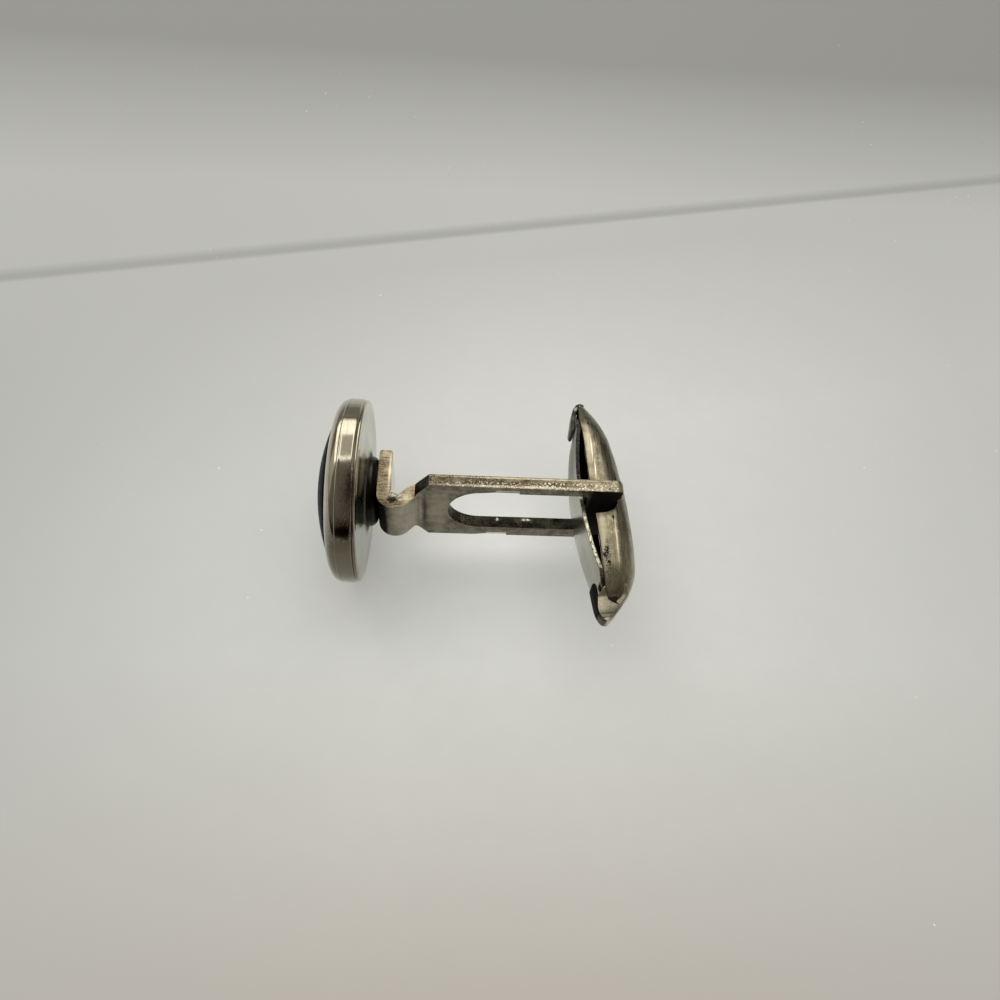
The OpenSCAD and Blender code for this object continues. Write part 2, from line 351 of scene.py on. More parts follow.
def subtract(obj: Object, tool: Object) -> None:
    """Cuts an object with another, which is then removed.

    Args:
        obj: The object that is cut.
        tool: The object that it is cut with.
    """
    step = obj.modifiers.new("cut", "BOOLEAN")
    step.operation = "DIFFERENCE"
    step.solver = "EXACT"
    step.object = tool
    settle(obj, PLAIN_SHARP)
    bpy.data.objects.remove(tool)


def soften_edges(obj: Object, width: float, steps: int, angle: float, finish: int = -1) -> None:
    """Rounds every sharp edge of an object.

    Args:
        obj: The object.
        width: Width of the rounding in millimetres.
        steps: Spans across the rounding.
        angle: Angle in degrees from which an edge counts as sharp.
        finish: Number of the rounding's finish; -1 leaves that of the faces beside it.
    """
    step = obj.modifiers.new("soft edges", "BEVEL")
    step.width = width * MM
    step.segments = steps
    step.limit_method = "ANGLE"
    step.angle_limit = math.radians(angle)
    step.material = finish
    settle(obj, ROUND_SHARP)


def push_points(obj: Object, move: Callable[[Vector, Vector], Vector], sharp: float) -> None:
    """Moves every vertex and shades the object again.

    Args:
        obj: The object.
        move: Takes a vertex's place and normal in millimetres, and returns its shift.
        sharp: Angle in degrees over which an edge stays sharp.
    """
    mesh = obj.data
    shifts = [move(v.co / MM, v.normal.copy()) * MM for v in mesh.vertices]
    for vertex, shift in zip(mesh.vertices, shifts):
        vertex.co += shift
    mesh.update()
    shade(mesh, sharp)


def paint(obj: Object, finishes: Sequence[Material], kind: FaceKind | None = None) -> None:
    """Gives an object its finishes, and each face the one that suits it.

    Args:
        obj: The object.
        finishes: Its finishes, in the order of their numbers.
        kind: Takes a face's middle in millimetres and its normal, and returns the number
            of its finish. Without it every face keeps its number.
    """
    mesh = obj.data
    mesh.materials.clear()
    for finish in finishes:
        mesh.materials.append(finish)
    if kind:
        for polygon in mesh.polygons:
            polygon.material_index = kind(polygon.center / MM, polygon.normal)


def carry(obj: Object, body: Body, slot: str, *nodes: str) -> Object:
    """Lets a piece ride on its body, in place of the nodes that it stands for.

    Args:
        obj: The piece.
        body: The body that it rides on.
        slot: The record's material slot; not used.
        nodes: The CAD nodes that it replaces.

    Returns:
        The piece.
    """
    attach(obj, body.value)
    if nodes:
        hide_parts(*nodes)
    LOG.info("piece %s: %d faces on %s", obj.name, len(obj.data.polygons), body.value)
    return obj


# ---------------------------------------------------------------- finishes


class Wiring:
    """A material's node tree with short ways to add what the finishes share."""

    def __init__(self, name: str) -> None:
        """Starts a material with one shader and the piece's own coordinates.

        Args:
            name: Name of the material.
        """
        self.material = bpy.data.materials.new(name)
        self.material.use_nodes = True
        self.tree = self.material.node_tree
        self.tree.nodes.clear()
        self.shader = self.node("BsdfPrincipled")
        self.link(self.shader.outputs[0], self.node("OutputMaterial").inputs[0])
        self.coords = self.node("TexCoord").outputs["Object"]

    def node(self, kind: str) -> bpy.types.Node:
        """Adds a shader node of a kind."""
        return self.tree.nodes.new("ShaderNode" + kind)

    def link(self, source: Socket, target: Socket) -> None:
        """Joins two sockets."""
        self.tree.links.new(source, target)

    def fix(self, name: str, value: float | Sequence[float]) -> None:
        """Sets one of the shader's inputs to a constant."""
        self.shader.inputs[name].default_value = value

    def feed(self, name: str, source: Socket) -> None:
        """Links a socket to one of the shader's inputs."""
        self.link(source, self.shader.inputs[name])

    def stretched(self, scale: Sequence[float]) -> Socket:
        """Coordinates with their own scale along each axis.

        Args:
            scale: Units per millimetre along X, Y and Z.

        Returns:
            The coordinates.
        """
        node = self.node("Mapping")
        node.vector_type = "TEXTURE"
        node.inputs["Scale"].default_value = [MM / s for s in scale]
        self.link(self.coords, node.inputs["Vector"])
        return node.outputs[0]

    def even(self, scale: float) -> Socket:
        """Coordinates with one scale per millimetre along every axis."""
        return self.stretched((scale, scale, scale))

    def grain(self, at: Socket, detail: float = 4, rough: float = 0.55) -> Socket:
        """Noise of unit size.

        Args:
            at: Coordinates in which it has that size.
            detail: Number of finer layers.
            rough: Share of the finer layers.

        Returns:
            The noise, from 0 to 1.
        """
        node = self.node("TexNoise")
        node.inputs["Scale"].default_value = 1.0
        node.inputs["Detail"].default_value = detail
        node.inputs["Roughness"].default_value = rough
        self.link(at, node.inputs["Vector"])
        return node.outputs["Fac"]

    def cells(self, at: Socket) -> Socket:
        """Scattered points, about one in each unit.

        Args:
            at: Coordinates in which the points lie.

        Returns:
            Distance to the nearest point.
        """
        node = self.node("TexVoronoi")
        node.inputs["Scale"].default_value = 1.0
        self.link(at, node.inputs["Vector"])
        return node.outputs["Distance"]

    def spread(
        self, value: Socket, low: float, high: float, to_low: float, to_high: float
    ) -> Socket:
        """Maps a range of values to another, held at its ends.

        Args:
            value: The value.
            low: Start of its range.
            high: End of its range.
            to_low: Result at the start.
            to_high: Result at the end.

        Returns:
            The mapped value.
        """
        node = self.node("MapRange")
        names = ("From Min", "From Max", "To Min", "To Max")
        for name, number in zip(names, (low, high, to_low, to_high)):
            node.inputs[name].default_value = number
        self.link(value, node.inputs["Value"])
        return node.outputs[0]

    def combine(self, how: Op, a: Socket, b: Socket | float) -> Socket:
        """Combines two values.

        Args:
            how: What is done with them.
            a: The first value.
            b: The second value, or a number.

        Returns:
            The result.
        """
        node = self.node("Math")
        node.operation = how.value
        self.link(a, node.inputs[0])
        if isinstance(b, (int, float)):
            node.inputs[1].default_value = b
        else:
            self.link(b, node.inputs[1])
        return node.outputs[0]

    def toward(
        self, direction: Point3, low: float, high: float, to_low: float, to_high: float
    ) -> Socket:
        """Maps the distance along a direction to a range of values.

        Args:
            direction: The direction.
            low: Distance in millimetres where the range starts.
            high: Distance in millimetres where it ends.
            to_low: Result at the start.
            to_high: Result at the end.

        Returns:
            The mapped value.
        """
        node = self.node("VectorMath")
        node.operation = "DOT_PRODUCT"
        node.inputs[1].default_value = direction
        self.link(self.coords, node.inputs[0])
        return self.spread(node.outputs["Value"], low * MM, high * MM, to_low, to_high)

    def blend(self, share: Socket, first: Socket | Colour, second: Socket | Colour) -> Socket:
        """Mixes two colours.

        Args:
            share: Share of the second colour.
            first: The first colour.
            second: The second colour.

        Returns:
            The mixed colour.
        """
        node = self.node("Mix")
        node.data_type = "RGBA"
        self.link(share, node.inputs[0])
        for socket, colour in zip((node.inputs[6], node.inputs[7]), (first, second)):
            if isinstance(colour, Socket):
                self.link(colour, socket)
            else:
                socket.default_value = (*colour, 1)
        return node.outputs[2]

    def bumped(self, height: Socket, depth: float, strength: float = 1.0) -> None:
        """Gives the shader a relief, on top of what it has.

        Args:
            height: The relief, from 0 to 1.
            depth: Its depth in millimetres.
            strength: How strongly it shows.
        """
        node = self.node("Bump")
        node.inputs["Strength"].default_value = strength
        node.inputs["Distance"].default_value = depth * MM
        self.link(height, node.inputs["Height"])
        before = self.shader.inputs["Normal"].links
        if before:
            self.link(before[0].from_socket, node.inputs["Normal"])
        self.feed("Normal", node.outputs[0])


@dataclass(frozen=True)
class Patch:
    """Soft patch of another tone at a place on a piece, for grime and worn spots and also for
    painted shade and painted highlights.
    """

    centre: Point3
    reach: Point3
    tone: Colour
    share: float = 1.0
    soft: float = 0.4
    ragged: float = 0.35
    matt: bool = False
    spots: float = 0.0
    spot_edge: Point2 = (0.3, 0.42)

    def cover(self, wiring: Wiring, fine: Socket) -> Socket:
        """Works out how much the patch covers.

        Args:
            wiring: The finish's node tree.
            fine: Noise that makes the patch's border ragged.

        Returns:
            The share covered.
        """
        node = wiring.node("Mapping")
        node.vector_type = "TEXTURE"
        node.inputs["Location"].default_value = [c * MM for c in self.centre]
        node.inputs["Scale"].default_value = [r * MM for r in self.reach]
        wiring.link(wiring.coords, node.inputs["Vector"])
        size = wiring.node("VectorMath")
        size.operation = "LENGTH"
        wiring.link(node.outputs[0], size.inputs[0])
        uneven = wiring.combine(Op.SUBTRACT, fine, 0.5)
        border = wiring.combine(Op.MULTIPLY, uneven, self.ragged * 2)
        away = wiring.combine(Op.ADD, size.outputs["Value"], border)
        cover = wiring.spread(away, 1 - self.soft, 1.0, self.share, 0)
        if self.spots > 0:
            near = wiring.cells(wiring.even(self.spots))
            dots = wiring.spread(near, *self.spot_edge, 1, 0)
            cover = wiring.combine(Op.MULTIPLY, cover, dots)
        return cover


@dataclass(frozen=True)
class WornMetal:
    """Metal with cloudy tarnish, fine grain, drawn scratches, pits and patches.

    Sizes of clouds, grain, scratches and pits are counts per millimetre, and the relief
    is millimetres.
    """

    name: str
    light: Colour
    dark: Colour
    shine: Point2
    clouds: float = 0.8
    grain: float = 9.0
    relief: float = 0.004
    contrast: float = 0.12
    scratch_scale: Point3 = (0.5, 14.0, 14.0)
    scratches: float = 0.25
    pits: float = 0.0
    pit_size: float = 3.2
    pit_edge: Point2 = (0.2, 0.36)
    pit_depth: float = 0.05
    drift_scale: float = 0.9
    stain: Colour = (0.04, 0.03, 0.02)
    patches: tuple[Patch, ...] = ()
    specular: float = 0.08
    matt_rough: float = 0.75
    pit_rough: float = 0.25
    cloud_share: float = 0.6
    raised: Point2 = (0.55, 0.7)
    sunk: Point2 = (0.45, 0.3)

    def material(self) -> Material:
        """Builds the node material of this finish.

        Returns:
            The material.
        """
        w = Wiring(self.name)
        w.fix("Metallic", 1.0)
        w.fix("Specular IOR Level", self.specular)
        cloud = w.grain(w.even(self.clouds), 5, 0.6)
        fine = w.grain(w.even(self.grain), 3, 0.6)
        drawn = w.grain(w.stretched(self.scratch_scale), 2, 0.5)
        cloudy = w.combine(Op.MULTIPLY, cloud, self.cloud_share)
        mottle = w.combine(Op.ADD, cloudy, w.combine(Op.MULTIPLY, fine, 1 - self.cloud_share))
        share = w.spread(mottle, 0.5 - self.contrast, 0.5 + self.contrast, 0, 1)
        tone = w.blend(share, self.dark, self.light)
        tone = w.blend(w.spread(drawn, *self.raised, 0, self.scratches), tone, self.light)
        tone = w.blend(w.spread(drawn, *self.sunk, 0, self.scratches), tone, self.stain)
        rough = w.spread(mottle, 0.35, 0.65, self.shine[1], self.shine[0])
        if self.pits > 0:
            hole = self.pitted(w)
            tone = w.blend(hole, tone, self.stain)
            rough = w.combine(Op.ADD, rough, w.combine(Op.MULTIPLY, hole, self.pit_rough))
        for patch in self.patches:
            cover = patch.cover(w, fine)
            tone = w.blend(cover, tone, patch.tone)
            if patch.matt:
                covered = w.combine(Op.MULTIPLY, cover, self.matt_rough)
                rough = w.combine(Op.MAXIMUM, rough, covered)
                metal = w.spread(cover, 0, 1, 1, 0)
                before = w.shader.inputs["Metallic"].links
                if before:
                    metal = w.combine(Op.MINIMUM, metal, before[0].from_socket)
                w.feed("Metallic", metal)
        w.feed("Base Color", tone)
        w.feed("Roughness", rough)
        scored = w.combine(Op.MULTIPLY, drawn, self.scratches)
        w.bumped(w.combine(Op.ADD, fine, scored), self.relief, 0.8)
        return w.material

    def pitted(self, w: Wiring) -> Socket:
        """Scatters pits in drifts and gives them depth.

        Args:
            w: The finish's node tree.

        Returns:
            The share that is a pit.
        """
        hole = w.spread(w.cells(w.even(self.pit_size)), *self.pit_edge, 1, 0)
        drift = w.grain(w.even(self.drift_scale), 2)
        where = w.spread(drift, 0.62 - self.pits, 0.7 - self.pits * 0.6, 0, 1)
        hole = w.combine(Op.MULTIPLY, hole, where)
        w.bumped(w.combine(Op.MULTIPLY, hole, -1.0), self.pit_depth, 0.9)
        return hole


@dataclass(frozen=True)
class DarkInlay:
    """Dark stone with faint clouds and little gloss."""

    name: str = "dark_stone"
    deep: Colour = (0.004, 0.006, 0.012)
    cloud: Colour = (0.008, 0.012, 0.021)
    shine: Point2 = (0.2, 0.34)
    ior: float = 1.14
    specular: float = 0.02

    def material(self) -> Material:
        """Builds the node material of this finish.

        Returns:
            The material.
        """
        w = Wiring(self.name)
        share = w.spread(w.grain(w.even(0.35), 4), 0.4, 0.7, 0, 1)
        w.feed("Base Color", w.blend(share, self.deep, self.cloud))
        scuffs = w.grain(w.even(2.0), 3)
        w.feed("Roughness", w.spread(scuffs, 0.35, 0.7, *self.shine))
        w.fix("IOR", self.ior)
        w.fix("Specular IOR Level", self.specular)
        w.bumped(scuffs, 0.001, 0.3)
        return w.material


@dataclass(frozen=True)
class Cement:
    """Dull cement under the stone."""

    name: str = "cement"
    dark: Colour = (0.1, 0.09, 0.08)
    light: Colour = (0.25, 0.23, 0.2)

    def material(self) -> Material:
        """Builds the node material of this finish.

        Returns:
            The material.
        """
        w = Wiring(self.name)
        lumps = w.grain(w.even(3.0), 6)
        w.feed("Base Color", w.blend(lumps, self.dark, self.light))
        w.fix("Roughness", 0.9)
        w.bumped(lumps, 0.05)
        return w.material


# Near-black tone for grime and for painted shade.
SOOT_AND_SHADE = (0.006, 0.0055, 0.005)
CREASE_SHADE = (0.05, 0.042, 0.03)
RUBBED_AND_SHEEN = (0.85, 0.78, 0.62)
RIDGE = (0.8, 0.74, 0.6)
SPARKLE = (0.95, 0.9, 0.78)
GLINT = (0.98, 0.95, 0.85)
WALL_GLINT = (0.9, 0.88, 0.8)
SPECK = (0.09, 0.07, 0.045)


def soot_and_shade(
    centre: Point3,
    reach: Point3,
    share: float = 0.97,
    soft: float = 0.2,
    ragged: float = 0.15,
    spots: float = 0.0,
) -> Patch:
    """Matt black patch, used for grime and also for painted shade, with a patch's own values."""
    return Patch(centre, reach, SOOT_AND_SHADE, share, soft, ragged, True, spots)


def made(look: WornMetal | DarkInlay | Cement) -> Material:
    """Field whose material is built from a look when the set of finishes is made."""
    return field(default_factory=look.material)


BEND_SHADE = soot_and_shade((-0.35, -2.9, 0.0), (1.38, 2.9, 12.0), soft=0.12, ragged=0.1)
BAR_SHADE = soot_and_shade((17.3, -0.8, 0.0), (2.0, 0.6, 12.0), soft=0.15, ragged=0.1)
# painted shade in the dimple near the lower end
END_DIMPLE_SHADE = soot_and_shade((17.42, -8.05, 1.1), (0.66, 0.5, 0.8), 0.94, 0.5, 0.6)


@dataclass(frozen=True)
class Finishes:
    """Every finish of the cufflink, made once."""

    bezel: Material = made(WornMetal(
        "polished_bezel", (0.66, 0.62, 0.53), (0.54, 0.5, 0.41), (0.1, 0.2), clouds=0.8,
        grain=8.0, relief=0.0012, contrast=0.14, scratch_scale=(6.0, 0.4, 0.4), scratches=0.12,
        patches=(
            # painted shade over the lower part of the ring
            Patch((-1.9, -6.2, 1.6), (3.2, 3.9, 5.6), (0.115, 0.095, 0.068), 0.88, 0.6, 0.2),
            # smears and a rusty spot below the bright part of the band
            Patch((-1.4, -2.4, 6.1), (0.35, 1.7, 1.6), (0.04, 0.028, 0.02), 0.85, 0.9, 0.8),
            Patch((-1.5, -2.9, 5.8), (0.8, 2.1, 2.0), (0.11, 0.09, 0.06), 0.7, 0.9, 0.6),
            Patch((-1.75, -4.75, 4.1), (0.8, 0.75, 1.3), (0.05, 0.024, 0.014), 0.9, 0.7, 0.7),
            # painted warm highlight along the shoulder, and the dark joint across the band
            Patch((-3.0, 1.6, 6.4), (0.35, 3.4, 2.5), (0.75, 0.66, 0.48), 0.6, 0.9, 0.5),
            Patch((-1.85, 2.88, 6.75), (1.1, 0.07, 0.7), (0.16, 0.13, 0.1), 0.8, 0.7, 0.02),
        )))
    back: Material = made(WornMetal(
        "polished_back", (0.57, 0.58, 0.48), (0.46, 0.47, 0.38), (0.14, 0.24), clouds=0.4,
        grain=5.0, relief=0.001, scratches=0.1, patches=(
            # painted shade on the plate round the boss
            soot_and_shade((-0.5, 1.0, 0.0), (2.0, 3.5, 3.5), 0.95, 0.25),
        )))
    # The boss's near-black tone is painted shade of the narrow gap between the head and the post.
    boss: Material = made(WornMetal(
        "boss_painted_shade", (0.03, 0.03, 0.027), (0.004, 0.004, 0.004), (0.3, 0.5), clouds=0.7,
        scratch_scale=(6.0, 0.4, 0.4), scratches=0.3, patches=(
            # painted reflection streaking down the boss
            Patch((-0.45, 1.2, 2.5), (0.13, 1.5, 1.2), (0.16, 0.13, 0.1), 0.5, 0.8, 0.3),
        )))
    face: Material = made(WornMetal(
        "satin_strap", (0.24, 0.212, 0.161), (0.1, 0.087, 0.062), (0.28, 0.42), clouds=1.6,
        relief=0.008, contrast=0.08, scratches=0.2, patches=(
            BEND_SHADE,
            # rubbed bend and web
            Patch((2.3, -1.4, 0.0), (1.5, 1.6, 5.0), (0.56, 0.5, 0.385), 0.48, 0.5, 0.6),
            Patch((4.6, -0.7, 0.0), (1.0, 0.6, 4.2), (0.5, 0.45, 0.35), 0.42, 0.6, 0.6),
            # painted shade of a crease in the upper bend, and a painted highlight on the ridge
            # beside it
            Patch((3.56, -0.5, 0.0), (0.19, 0.9, 3.4), (0.035, 0.03, 0.02), 0.88, 0.9, 0.5),
            Patch((3.25, -0.9, 0.0), (0.16, 0.9, 3.2), (0.6, 0.54, 0.42), 0.5, 0.9, 0.6),
            # painted reflection of the pale table on the foot's inner face
            Patch((1.05, 2.2, 0.0), (0.3, 2.4, 3.0), (0.86, 0.86, 0.82), 0.92, 0.3, 0.1),
            BAR_SHADE,
        )))
    coined: Material = made(WornMetal(
        "coined_strip", (0.74, 0.66, 0.56), (0.5, 0.43, 0.35), (0.25, 0.38), clouds=1.8,
        grain=8.0, scratches=0.2))
    edge: Material = made(WornMetal(
        "sheared_edge", (0.27, 0.228, 0.16), (0.085, 0.068, 0.045), (0.26, 0.48), clouds=2.4,
        relief=0.02, pits=0.2, pit_size=7.5, scratch_scale=(0.8, 8.0, 8.0), scratches=0.5,
        patches=(
            # painted shade in the inner corner of the bend
            soot_and_shade((1.16, -0.62, 2.2), (0.3, 0.26, 0.5), 0.95, 0.3, 0.4),
            # rubbed end, and light strips along both corners of the edge, partly wear and partly
            # painted highlight
            Patch((17.8, 0.0, 3.5), (4.2, 1.4, 1.0), (0.66, 0.6, 0.47), 0.55, 0.9, 0.8),
            Patch((10.6, -0.36, 3.5), (8.0, 0.14, 0.6), RUBBED_AND_SHEEN, 0.85, 0.6, 0.5),
            Patch((10.6, 0.38, 3.5), (8.0, 0.1, 0.6), (0.75, 0.67, 0.52), 0.75, 0.7, 0.5),
            # painted glints on the torn metal, and dark specks among it
            Patch((14.6, -0.2, 3.5), (4.4, 0.5, 0.6), SPARKLE, 0.9, 0.5, 0.8, spots=5.0),
            Patch((8.4, -0.25, 3.5), (4.8, 0.34, 0.6), SPARKLE, 0.8, 0.5, 1.0, spots=6.0),
            Patch((8.6, -0.05, 3.5), (4.4, 0.4, 0.6), SPECK, 0.8, 0.6, 1.0, spots=4.0),
        )))
    foot: Material = made(WornMetal(
        "foot_edge", (0.43, 0.36, 0.262), (0.16, 0.125, 0.085), (0.24, 0.4), clouds=1.6,
        grain=8.0, relief=0.012, contrast=0.1, scratch_scale=(1.3, 8.5, 1.3), scratches=0.75,
        patches=(
            # light strip along the edge, partly wear and partly painted highlight
            Patch((0.86, 1.5, 2.1), (0.13, 2.1, 0.6), RUBBED_AND_SHEEN, 0.75, 0.8, 0.5),
            # painted shade in the inner corner of the bend
            soot_and_shade((1.2, -0.95, 2.2), (0.5, 0.36, 0.6), 0.93, 0.5, 0.8),
            Patch((2.15, -0.76, 2.1), (0.6, 0.42, 0.6), (0.95, 0.88, 0.68), 0.55, 0.8, 1.4),
        )))
    # Rounded corners, lighter partly from wear and partly as a painted highlight along the edges.
    worn: Material = made(WornMetal(
        "worn_corner_and_sheen", (0.7, 0.62, 0.48), (0.24, 0.2, 0.145), (0.2, 0.36), clouds=2.0,
        grain=8.0, relief=0.01, contrast=0.1, patches=(BEND_SHADE, BAR_SHADE)))
    burr: Material = made(WornMetal(
        "torn_burr", (0.98, 0.93, 0.8), (0.5, 0.43, 0.32), (0.4, 0.55), clouds=2.6,
        grain=6.0, relief=0.02, contrast=0.1, patches=(
            Patch((1.4, -0.6, 2.2), (1.3, 1.0, 1.2), RIDGE, 0.8, 0.2, 0.1, matt=True),
        )))
    # Near-black slot walls and flanks: painted shade.
    wall: Material = made(WornMetal(
        "punched_wall_shade", (0.05, 0.046, 0.036), (0.006, 0.0055, 0.0045), (0.3, 0.6), clouds=1.4,
        grain=6.0, relief=0.02, scratch_scale=(9.0, 0.9, 0.9), scratches=0.45, patches=(
            Patch((6.3, 0.0, -2.1), (0.9, 0.8, 0.45), (0.4, 0.36, 0.28), 0.6, 0.95, 1.8),
            # painted glints on the slot's wall
            Patch((9.3, 0.25, -2.3), (0.14, 0.16, 0.1), WALL_GLINT, 0.7, 0.8, 1.2),
            Patch((11.6, 0.25, -2.3), (0.4, 0.14, 0.1), WALL_GLINT, 0.75, 0.8, 1.8),
        )))
    shell: Material = made(WornMetal(
        "toggle_back", (0.37, 0.34, 0.265), (0.16, 0.148, 0.112), (0.22, 0.4), clouds=0.9,
        grain=8.0, relief=0.008, contrast=0.14, scratch_scale=(7.0, 0.28, 7.0), scratches=0.9,
        patches=(
            Patch((18.4, -5.2, 0.0), (1.6, 2.9, 4.0), (0.62, 0.57, 0.45), 0.4, 0.8, 0.5),
            # painted shade of a crease along the lower half with a painted highlight on a ridge
            # beside it, and a painted highlight on the upper ridge
            Patch((18.02, -3.5, 1.8), (0.12, 3.4, 1.0), CREASE_SHADE, 0.85, 0.9, 0.6),
            Patch((17.74, -3.4, 1.95), (0.08, 3.2, 0.8), RIDGE, 0.6, 0.9, 0.5),
            Patch((17.2, 4.9, 1.95), (0.09, 1.9, 0.8), RIDGE, 0.6, 0.9, 0.5),
            END_DIMPLE_SHADE,
        )))
    side: Material = made(WornMetal(
        "toggle_side", (0.42, 0.375, 0.28), (0.19, 0.168, 0.12), (0.26, 0.45), clouds=1.3,
        relief=0.008, scratch_scale=(9.0, 0.5, 9.0), scratches=0.3, patches=(
            # rubbed walls, with painted highlights and painted shade of folds in the upper one
            Patch((16.75, -4.0, 1.95), (0.3, 4.6, 0.8), (0.7, 0.64, 0.5), 0.6, 0.9, 0.7),
            Patch((16.3, 5.5, 1.95), (0.3, 3.6, 1.0), (0.75, 0.7, 0.56), 0.6, 0.9, 0.6),
            Patch((16.5, 4.6, 1.95), (0.07, 1.5, 0.8), GLINT, 0.95, 0.7, 0.4),
            Patch((16.64, 2.6, 1.95), (0.06, 1.1, 0.8), GLINT, 0.95, 0.7, 0.4),
            Patch((16.9, 3.6, 1.95), (0.16, 2.6, 0.8), (0.06, 0.05, 0.036), 0.55, 0.9, 0.6),
            # painted shade and painted highlights of creases along the lower wall
            Patch((17.95, -3.6, 1.7), (0.11, 3.3, 1.2), CREASE_SHADE, 0.85, 0.9, 0.6),
            Patch((17.74, -3.5, 1.9), (0.07, 3.1, 0.9), (0.9, 0.84, 0.7), 0.7, 0.9, 0.5),
            Patch((17.5, -3.9, 1.9), (0.07, 3.4, 0.9), (0.08, 0.066, 0.048), 0.6, 0.9, 0.7),
            # grime in spots and smears, and painted shade in the dimple and in the notch's corner
            soot_and_shade((16.87, -5.2, 1.95), (0.48, 1.6, 0.6), 0.98, 0.5, 1.2, 2.2),
            soot_and_shade((16.9, -5.0, 1.95), (0.3, 1.1, 0.6), 0.95, 0.9, 2.4),
            soot_and_shade((17.1, -7.1, 1.7), (0.3, 0.9, 0.6), 0.75, 0.9, 2.2),
            END_DIMPLE_SHADE,
            soot_and_shade((17.65, -1.7, 1.95), (0.11, 0.33, 0.5), 0.9, 0.5, 0.6),
        )))
    # Near-black inside of the sheet: painted shade.
    inside: Material = made(WornMetal(
        "toggle_inside_shade", (0.02, 0.019, 0.016), (0.004, 0.004, 0.003), (0.5, 0.75)))
    # Dark tone of the folds: painted shade.
    fold: Material = made(WornMetal(
        "folded_lip", (0.1, 0.095, 0.075), (0.02, 0.018, 0.014), (0.25, 0.45), clouds=1.2,
        scratches=0.3, patches=(
            # painted highlight on the upper fold
            Patch((15.85, 9.6, 0.6), (0.3, 0.35, 0.5), (0.85, 0.8, 0.68), 0.8, 0.8, 0.6),
            Patch((17.5, -9.3, 0.0), (0.95, 0.4, 2.0), (0.55, 0.51, 0.41), 0.9, 0.5, 0.4),
            # painted shade on the lower fold beside the leaf's end
            soot_and_shade((15.9, -7.8, 0.0), (0.75, 1.75, 3.0), 0.95, 0.25, 0.15),
        )))
    beak: Material = made(WornMetal(
        "folded_end", (0.62, 0.575, 0.465), (0.36, 0.33, 0.255), (0.3, 0.45), clouds=1.6,
        relief=0.012, scratches=0.2))
    leaf: Material = made(WornMetal(
        "spring_leaf", (0.5, 0.49, 0.42), (0.38, 0.37, 0.32), (0.16, 0.28), clouds=0.5,
        grain=7.0, relief=0.002, scratch_scale=(8.0, 0.5, 8.0), scratches=0.12, patches=(
            # painted shade over the upper part of the leaf
            Patch((15.3, 5.5, 0.0), (1.5, 6.5, 4.0), (0.17, 0.167, 0.14), 0.6, 0.7, 0.2, matt=True),
        )))
    leaf_edge: Material = made(WornMetal(
        "leaf_edge", (0.95, 0.91, 0.78), (0.1, 0.088, 0.065), (0.25, 0.45), clouds=3.6,
        grain=6.0, relief=0.01, pits=0.25, pit_size=5.0, patches=(
            # painted shade along the upper half of the edge
            soot_and_shade((15.2, 5.4, 2.0), (1.5, 5.4, 1.5), 0.9, 0.15, 0.2),
        )))
    stone: Material = made(DarkInlay())
    cement: Material = made(Cement())


# ---------------------------------------------------------------- the head


